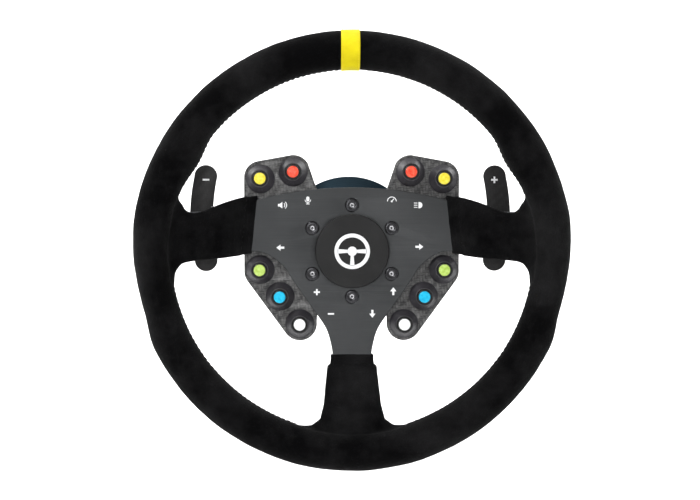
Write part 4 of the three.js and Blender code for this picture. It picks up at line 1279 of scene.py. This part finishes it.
def build_paddle(name, side):
    """A blade on its arm, which turns on a pin in the ears of its block, against a magnet."""
    body = f"paddle_{name}"
    blade_back = build_blade(name, side, body)

    low, high = box_mm(f"paddle_arm_{name}")
    pin = middle_mm(f"paddle_pivot_pin_{name}")
    pivot_x, pivot_y = abs(pin.x), pin.y
    bore = circle(pivot_x, pivot_y, PIN_BORE, 24)
    middle_z = (low.z + high.z) / 2
    bar = arc(pivot_x, pivot_y, EYE_RADIUS, 90, 270, 20)
    bar += soften([bar[-1], (pivot_x + 4, pivot_y - 2.5), (ARM_TIP - 2, pivot_y - 2.5),
                   (ARM_TIP, pivot_y - 0.5), (ARM_TIP, ARM_BACK), (pivot_x + 2, ARM_BACK), bar[0]],
                  1.2, 4)[1:-1]
    shape = Shape().add(upright_slab([bar, bore], side, middle_z, (high.z - low.z) / 2, 0.5))
    for z in (middle_z - BLADE_SCREW_STEP, middle_z + BLADE_SCREW_STEP):
        shape.add(small_screw((side * BLADE_SCREW_X, 0, z), "y", blade_back, 1, 2.2, 1.2, 1.0), 1)
    detail(f"paddle_arm_{name}", shape, [ARM_METAL, STEEL], body)

    low, high = box_mm(f"paddle_block_{name}")
    face = BLOCK_BACK
    sides = soften([(BLOCK_INNER, low.y), (BLOCK_OUTER - 3, low.y), (BLOCK_OUTER, low.y + 3),
                    (BLOCK_OUTER, face), (BLOCK_INNER, face)], 0.8, 3, closed=True)
    shape = Shape().add(upright_slab([sides], side, middle_z, (high.z - low.z) / 2, 0.6))
    ear = arc(pivot_x, pivot_y, EAR_RADIUS, 0, 180, 24)
    ear += [(pivot_x - EAR_RADIUS, face - 1), (pivot_x + EAR_RADIUS, face - 1)]
    for z in (low.z + EAR_HALF, high.z - EAR_HALF):
        shape.add(upright_slab([ear, bore], side, z, EAR_HALF, 0.35, 2))
    detail(f"paddle_block_{name}", shape, [BLACK_ANODISED], "wheel")

    magnet = middle_mm(f"paddle_magnet_{name}")
    at = (magnet.x, 0, magnet.z)
    shape = Shape().add(revolve(rod(MAGNET_RADIUS, face + 0.25, face - 1, 0.3), at, steps=48))
    ring = band(MAGNET_RADIUS + 0.05, MAGNET_RADIUS + 1, face - 0.3, face + 0.15, 0.15)
    shape.add(revolve(ring, at, steps=48, closed=True), 1)
    detail(f"paddle_magnet_{name}", shape, [STEEL, BLACK_STEEL], "wheel")

    low, high = box_mm(f"paddle_pivot_pin_{name}")
    shape = Shape().add(revolve(rod(PIN_RADIUS, low.z, high.z, 0.3), (pin.x, pin.y, 0), "z", steps=32))
    detail(f"paddle_pivot_pin_{name}", shape, [STEEL], "wheel")

    screws = Shape()
    for z in (middle_z - BLOCK_SCREW_STEP, middle_z + BLOCK_SCREW_STEP):
        screws.add(small_screw((0, BLOCK_SCREW_Y, z), "x", side * BLOCK_OUTER, side, 2.7, 1.4, 1.25))
    make(f"block_screws_{name}", screws, [STEEL], "wheel")


# ---- Quick release ----

first_ball = middle_mm("lock_ball_1")
BALL_Y = first_ball.y
BALL_RADIUS = 3.0
FLANGE_FACES, FLANGE_BOLT_CIRCLE = (-9, -20), 50
SLEEVE_OUTER, SLEEVE_BORE = 26, 21.3
BARREL_RADIUS, COLLAR_SCREW_CIRCLE = 37.5, 36.4
SPIGOT_RADIUS, SPIGOT_BORE = 21, 15.5
CONTACT_CIRCLE = 8.4


def ring_block(angle, radius, y, size):
    """A block out at a radius from the steering axis, turned with it. size is width, length, depth."""
    width, length, depth = (s / 2 for s in size)
    bar = rounded_bar((0, y, radius), (width, length, depth), min(width, depth) * 0.25)
    return turned_shell(bar, angle)


def rod_out(angle, y, radius, start, end):
    """A rod that points out from the steering axis."""
    profile = [(0, start), (radius, start), (radius, end), (0, end)]
    return turned_shell(revolve(profile, (0, y, 0), "z", steps=32), angle)


def build_column_hub():
    """Boss, flange, ridged neck and ball sleeve, with flange holes, ball holes and key slots."""
    low, high = box_mm("column_hub")
    end, back = low.y, high.y
    flange = high.x
    rear, front = FLANGE_FACES
    outer, inner = SLEEVE_OUTER, SLEEVE_BORE
    profile = soften([
        (9.5, back), (22, back), (22, rear), (flange, rear), (flange, front), (31.5, front),
        (30, -21.2), (30, -23.5), (33.5, -24.5), (33.5, -28.3), (32.6, -28.6), (32.6, -29.2),
        (35.5, -29.9), (35.5, -33.2), (outer, -33.2), (outer, -60), (24.6, -60), (24.6, -62),
        (outer, -62), (outer, end), (inner, end), (inner, -31), (15, -31), (15, -24), (9.5, -24),
    ], 0.6, 3, closed=True)
    shape = Shape().add(revolve(profile, steps=180, closed=True))
    piece = detail("column_hub", shape, [BLUE_GREY], "column_side")
    hole = [(0, 0), (2.6, 0), (2.6, -18.6), (4.2, -20.2), (4.2, -30), (0, -30)]
    tools = []
    for angle in ring_angles(6, 0.5):
        tools.append(revolve(hole, out_at(angle, FLANGE_BOLT_CIRCLE), steps=32))
        tools.append(rod_out(angle, BALL_Y, BALL_RADIUS + 0.2, 19, 29))
    for angle in ring_angles(6):
        tools.append(ring_block(angle, 20.3, end + 7, (4.0, 15, 4.6)))
    cut(piece, tools)


def build_collar():
    """The release collar: grooved barrel, finger disc with six screws, and a ball groove inside."""
    low, high = box_mm("release_collar")
    front, back = low.y, high.y
    disc, barrel = high.x, BARREL_RADIUS
    outside = [(26.3, back), (barrel - 0.6, back), (barrel, back - 1), (barrel, -39.6),
               (barrel - 0.5, -40.0), (barrel - 0.5, -40.8), (barrel, -41.2), (barrel, -55.4),
               (barrel - 0.8, -55.9), (barrel - 0.8, -56.9), (barrel, -57.4), (barrel, -59.2),
               (disc - 0.6, -59.6), (disc, -60.3), (disc, -63.2), (disc - 0.8, front),
               (33.1, front), (32.5, front + 0.6)]
    inside = [(32.5, -49.5), (26.3, -49.5), (26.3, BALL_Y - 3.4), (27.6, BALL_Y - 3.4),
              (27.6, BALL_Y + 8.4), (26.3, BALL_Y + 8.4)]
    profile = soften(outside + inside, 0.35, 3, closed=True)
    shape = Shape().add(revolve(profile, steps=180, closed=True))
    for angle in ring_angles(6, 0.5):
        at = out_at(angle, COLLAR_SCREW_CIRCLE)
        shape.add(small_screw(at, "y", front, -1, 2.2, 1.6, 1.1), 1)
    detail("release_collar", shape, [BLUE_GREY, BLACK_STEEL], "collar")


def build_spigot():
    """The spigot with its ball and ring grooves, six keys and a flange with bolt holes."""
    low, high = box_mm("qr_spigot")
    end, face = high.y, low.y
    flange_back = face + 6
    radius, bore = SPIGOT_RADIUS, SPIGOT_BORE
    profile = soften([
        (bore, end), (19.6, end), (radius, end - 1.4), (radius, BALL_Y + 3.6), (20, BALL_Y + 2.6),
        (20, BALL_Y - 2.6), (radius, BALL_Y - 3.6), (radius, -56.7), (19.3, -56.7),
        (19.3, -59.3), (radius, -59.3), (radius, -98), (22.2, -101.5), (25, -103.6),
        (30, flange_back), (high.x, flange_back), (high.x, face), (bore, face),
    ], 0.4, 3, closed=True)
    shape = Shape().add(revolve(profile, steps=160, closed=True))
    for angle in ring_angles(6):
        shape.add(ring_block(angle, 20.15, -52.7, (3.4, 5.5, 4.3)))
    piece = detail("qr_spigot", shape, [SPIGOT], "wheel")
    cut(piece, [revolve([(0, -100), (2.8, -100), (2.8, -115), (0, -115)], (p.x, 0, p.z), steps=32)
                for p in bolt_spots])


def build_rings():
    """The spigot's O-ring and the snap ring with its gap."""
    centre, radius = (20.5, -58), 0.75
    ring = [(centre[0] + radius * math.cos(a), centre[1] + radius * math.sin(a))
            for a in np.radians(np.arange(0, 360, 24))]
    shape = Shape().add(revolve(ring, steps=120, closed=True))
    detail("spigot_o_ring", shape, [RUBBER], "wheel")

    low, high = box_mm("snap_ring")
    shape = Shape().add(revolve(band(24.9, high.x, high.y, low.y, 0.2), steps=120, closed=True))
    piece = detail("snap_ring", shape, [STEEL], "column_side")
    cut(piece, [ring_block(0.55, 28, -61, (5, 4, 12))])


def build_spring():
    low, high = box_mm("collar_spring")
    turns, radius, wire, steps = 3, 29.3, 0.8, 48
    start, length = high.y - wire, (high.y - low.y) - 2 * wire
    path = []
    for k in range(turns * steps + 1):
        x, _, z = out_at(TAU * k / steps, radius)
        path.append((x, start - length * k / (turns * steps), z))
    shape = Shape().add(tube(path, wire, 12))
    spring = detail("collar_spring", shape, [STEEL], "column_side", crease=60)
    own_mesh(spring)


def build_balls():
    for i in range(1, 7):
        node = f"lock_ball_{i}"
        spot = middle_mm(node)
        profile = [(BALL_RADIUS * math.sin(a), spot.y + BALL_RADIUS * math.cos(a))
                   for a in np.linspace(0, math.pi, 25)]
        profile[-1] = (0, spot.y - BALL_RADIUS)
        shape = Shape().add(revolve(profile, (spot.x, 0, spot.z), steps=40))
        detail(node, shape, [STEEL], "column_side")


def contact_body(profile, radius, start, end, soft):
    """A revolved body with a ring of eight contact pins."""
    shape = Shape().add(revolve(profile, steps=72))
    for angle in ring_angles(8):
        shape.add(revolve(rod(radius, start, end, soft), out_at(angle, CONTACT_CIRCLE), steps=24), 1)
    return shape


def build_contacts():
    """The plug in the spigot and the socket in the hub, with their ring of contacts."""
    low, high = box_mm("contact_plug")
    profile = soften([(0, high.y), (12.2, high.y), (12.6, high.y - 0.6), (15.2, high.y - 0.6),
                      (15.2, -46), (6, -46.4), (6, low.y), (0, low.y)], 0.35)
    shape = contact_body(profile, 1.3, high.y - 0.4, high.y + 0.02, 0.1)
    detail("contact_plug", shape, [BLACK, BRASS], "wheel")

    low, high = box_mm("contact_socket")
    shape = contact_body(rod(14.6, high.y, low.y + 0.4, 0.4), 0.9, low.y + 1, low.y, 0.35)
    detail("contact_socket", shape, [BLACK, BRASS], "column_side")


# ---- Pieces kept from CAD ----


def finish_cad_nodes():
    for node, look in (("rim_core", FOAM), ("circuit_board", SOLDER_MASK)):
        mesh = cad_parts[node].data
        mesh.materials.clear()
        mesh.materials.append(look)


# ---- Studio, in metres ----

CAMERA_DISTANCE = 1.0
CAMERA_TURN, CAMERA_RISE = math.radians(-1.45), math.radians(2.2)
CAMERA_LENS, CAMERA_SENSOR = 67.2, 36
CAMERA_AIM = (-0.0015, PLATE_MIDDLE * MM, 0.0007)
FLOOR, FLOOR_NEAR, FLOOR_HALF_WIDTH = -0.235, -2.2, 2.6
WALL, WALL_TOP, WALL_BEND = 1.5, 2.6, 0.5
SKY = 0.62
MIDDLE = (0, -0.12, 0)
# Name, place, aim, size and power.
LIGHTS = [
    ("key", (-0.75, -1.0, 1.05), MIDDLE, (0.7, 0.5), 15),
    ("glint", (-0.13, -1.2, 0.13), (-0.06, -0.12, 0.06), (0.16, 0.16), 0.9),
    ("fill", (1.0, -1.0, 0.3), MIDDLE, (0.8, 0.8), 3),
    ("top", (0.0, -0.1, 1.3), (0, -0.1, 0), (1.2, 0.6), 9),
    ("wall left", (-1.0, 0.7, 0.9), (0, WALL, 0.1), (0.8, 0.8), 22),
    ("wall right", (1.0, 0.7, 0.9), (0, WALL, 0.1), (0.8, 0.8), 22),
]


def aim_object(thing, way):
    """Points a light or camera along a direction, with its top up."""
    thing.rotation_mode = "QUATERNION"
    thing.rotation_quaternion = way.to_track_quat("-Z", "Y")


def build_backdrop():
    """A pale sheet: floor under the wheel, then a wide curve up behind it."""
    line = [(FLOOR_NEAR, FLOOR), (WALL - WALL_BEND, FLOOR)]
    for k in range(1, 17):
        a = math.pi / 2 * k / 16
        line.append((WALL - WALL_BEND + WALL_BEND * math.sin(a), FLOOR + WALL_BEND * (1 - math.cos(a))))
    line.append((WALL, WALL_TOP))
    rows = [[(x, y, z) for x in (-FLOOR_HALF_WIDTH, FLOOR_HALF_WIDTH)] for y, z in line]
    points, faces = grid(rows, wrap_u=False, wrap_v=False)
    mesh = bpy.data.meshes.new("backdrop")
    mesh.from_pydata(points, [], faces)
    mesh.shade_smooth()
    look = Look("pale_paper", (0.9, 0.9, 0.9), 0.8)
    tone = look.noise(300)
    look.colour(look.blend(tone, (0.89, 0.89, 0.89), (0.93, 0.93, 0.93)))
    look.bump(tone, 0.00005, 0.3)
    mesh.materials.append(look.material)
    add_object("backdrop", mesh)


def build_lights():
    world = bpy.data.worlds.new("studio")
    bpy.context.scene.world = world
    world.use_nodes = True
    sky = world.node_tree.nodes["Background"]
    sky.inputs["Color"].default_value = (1, 1, 1, 1)
    sky.inputs["Strength"].default_value = SKY
    for name, place, aim, size, power in LIGHTS:
        light = bpy.data.lights.new(name, "AREA")
        light.shape = "RECTANGLE"
        light.size, light.size_y = size
        light.energy = power
        holder = add_object(name, light)
        holder.location = place
        aim_object(holder, Vector(aim) - Vector(place))


def build_camera():
    camera = bpy.data.cameras.new("camera")
    camera.lens, camera.sensor_width = CAMERA_LENS, CAMERA_SENSOR
    camera.clip_start, camera.clip_end = 0.05, 20
    holder = add_object("camera", camera)
    back = Vector((math.sin(CAMERA_TURN) * math.cos(CAMERA_RISE),
                   -math.cos(CAMERA_TURN) * math.cos(CAMERA_RISE), math.sin(CAMERA_RISE)))
    holder.location = Vector(CAMERA_AIM) + back * CAMERA_DISTANCE
    aim_object(holder, -back)
    bpy.context.scene.camera = holder
    bpy.context.scene.view_settings.view_transform = "Standard"


build_backdrop()
build_lights()
build_camera()
build_cover()
build_rim_stitching()
build_sleeve_stitching()
build_marker()
build_plate()
build_bolts()
build_spacer()
build_cap()
build_marks()
build_button_plate()
build_buttons()
build_housing()
build_paddle("left", -1)
build_paddle("right", 1)
build_column_hub()
build_collar()
build_spigot()
build_rings()
build_spring()
build_balls()
build_contacts()
finish_cad_nodes()
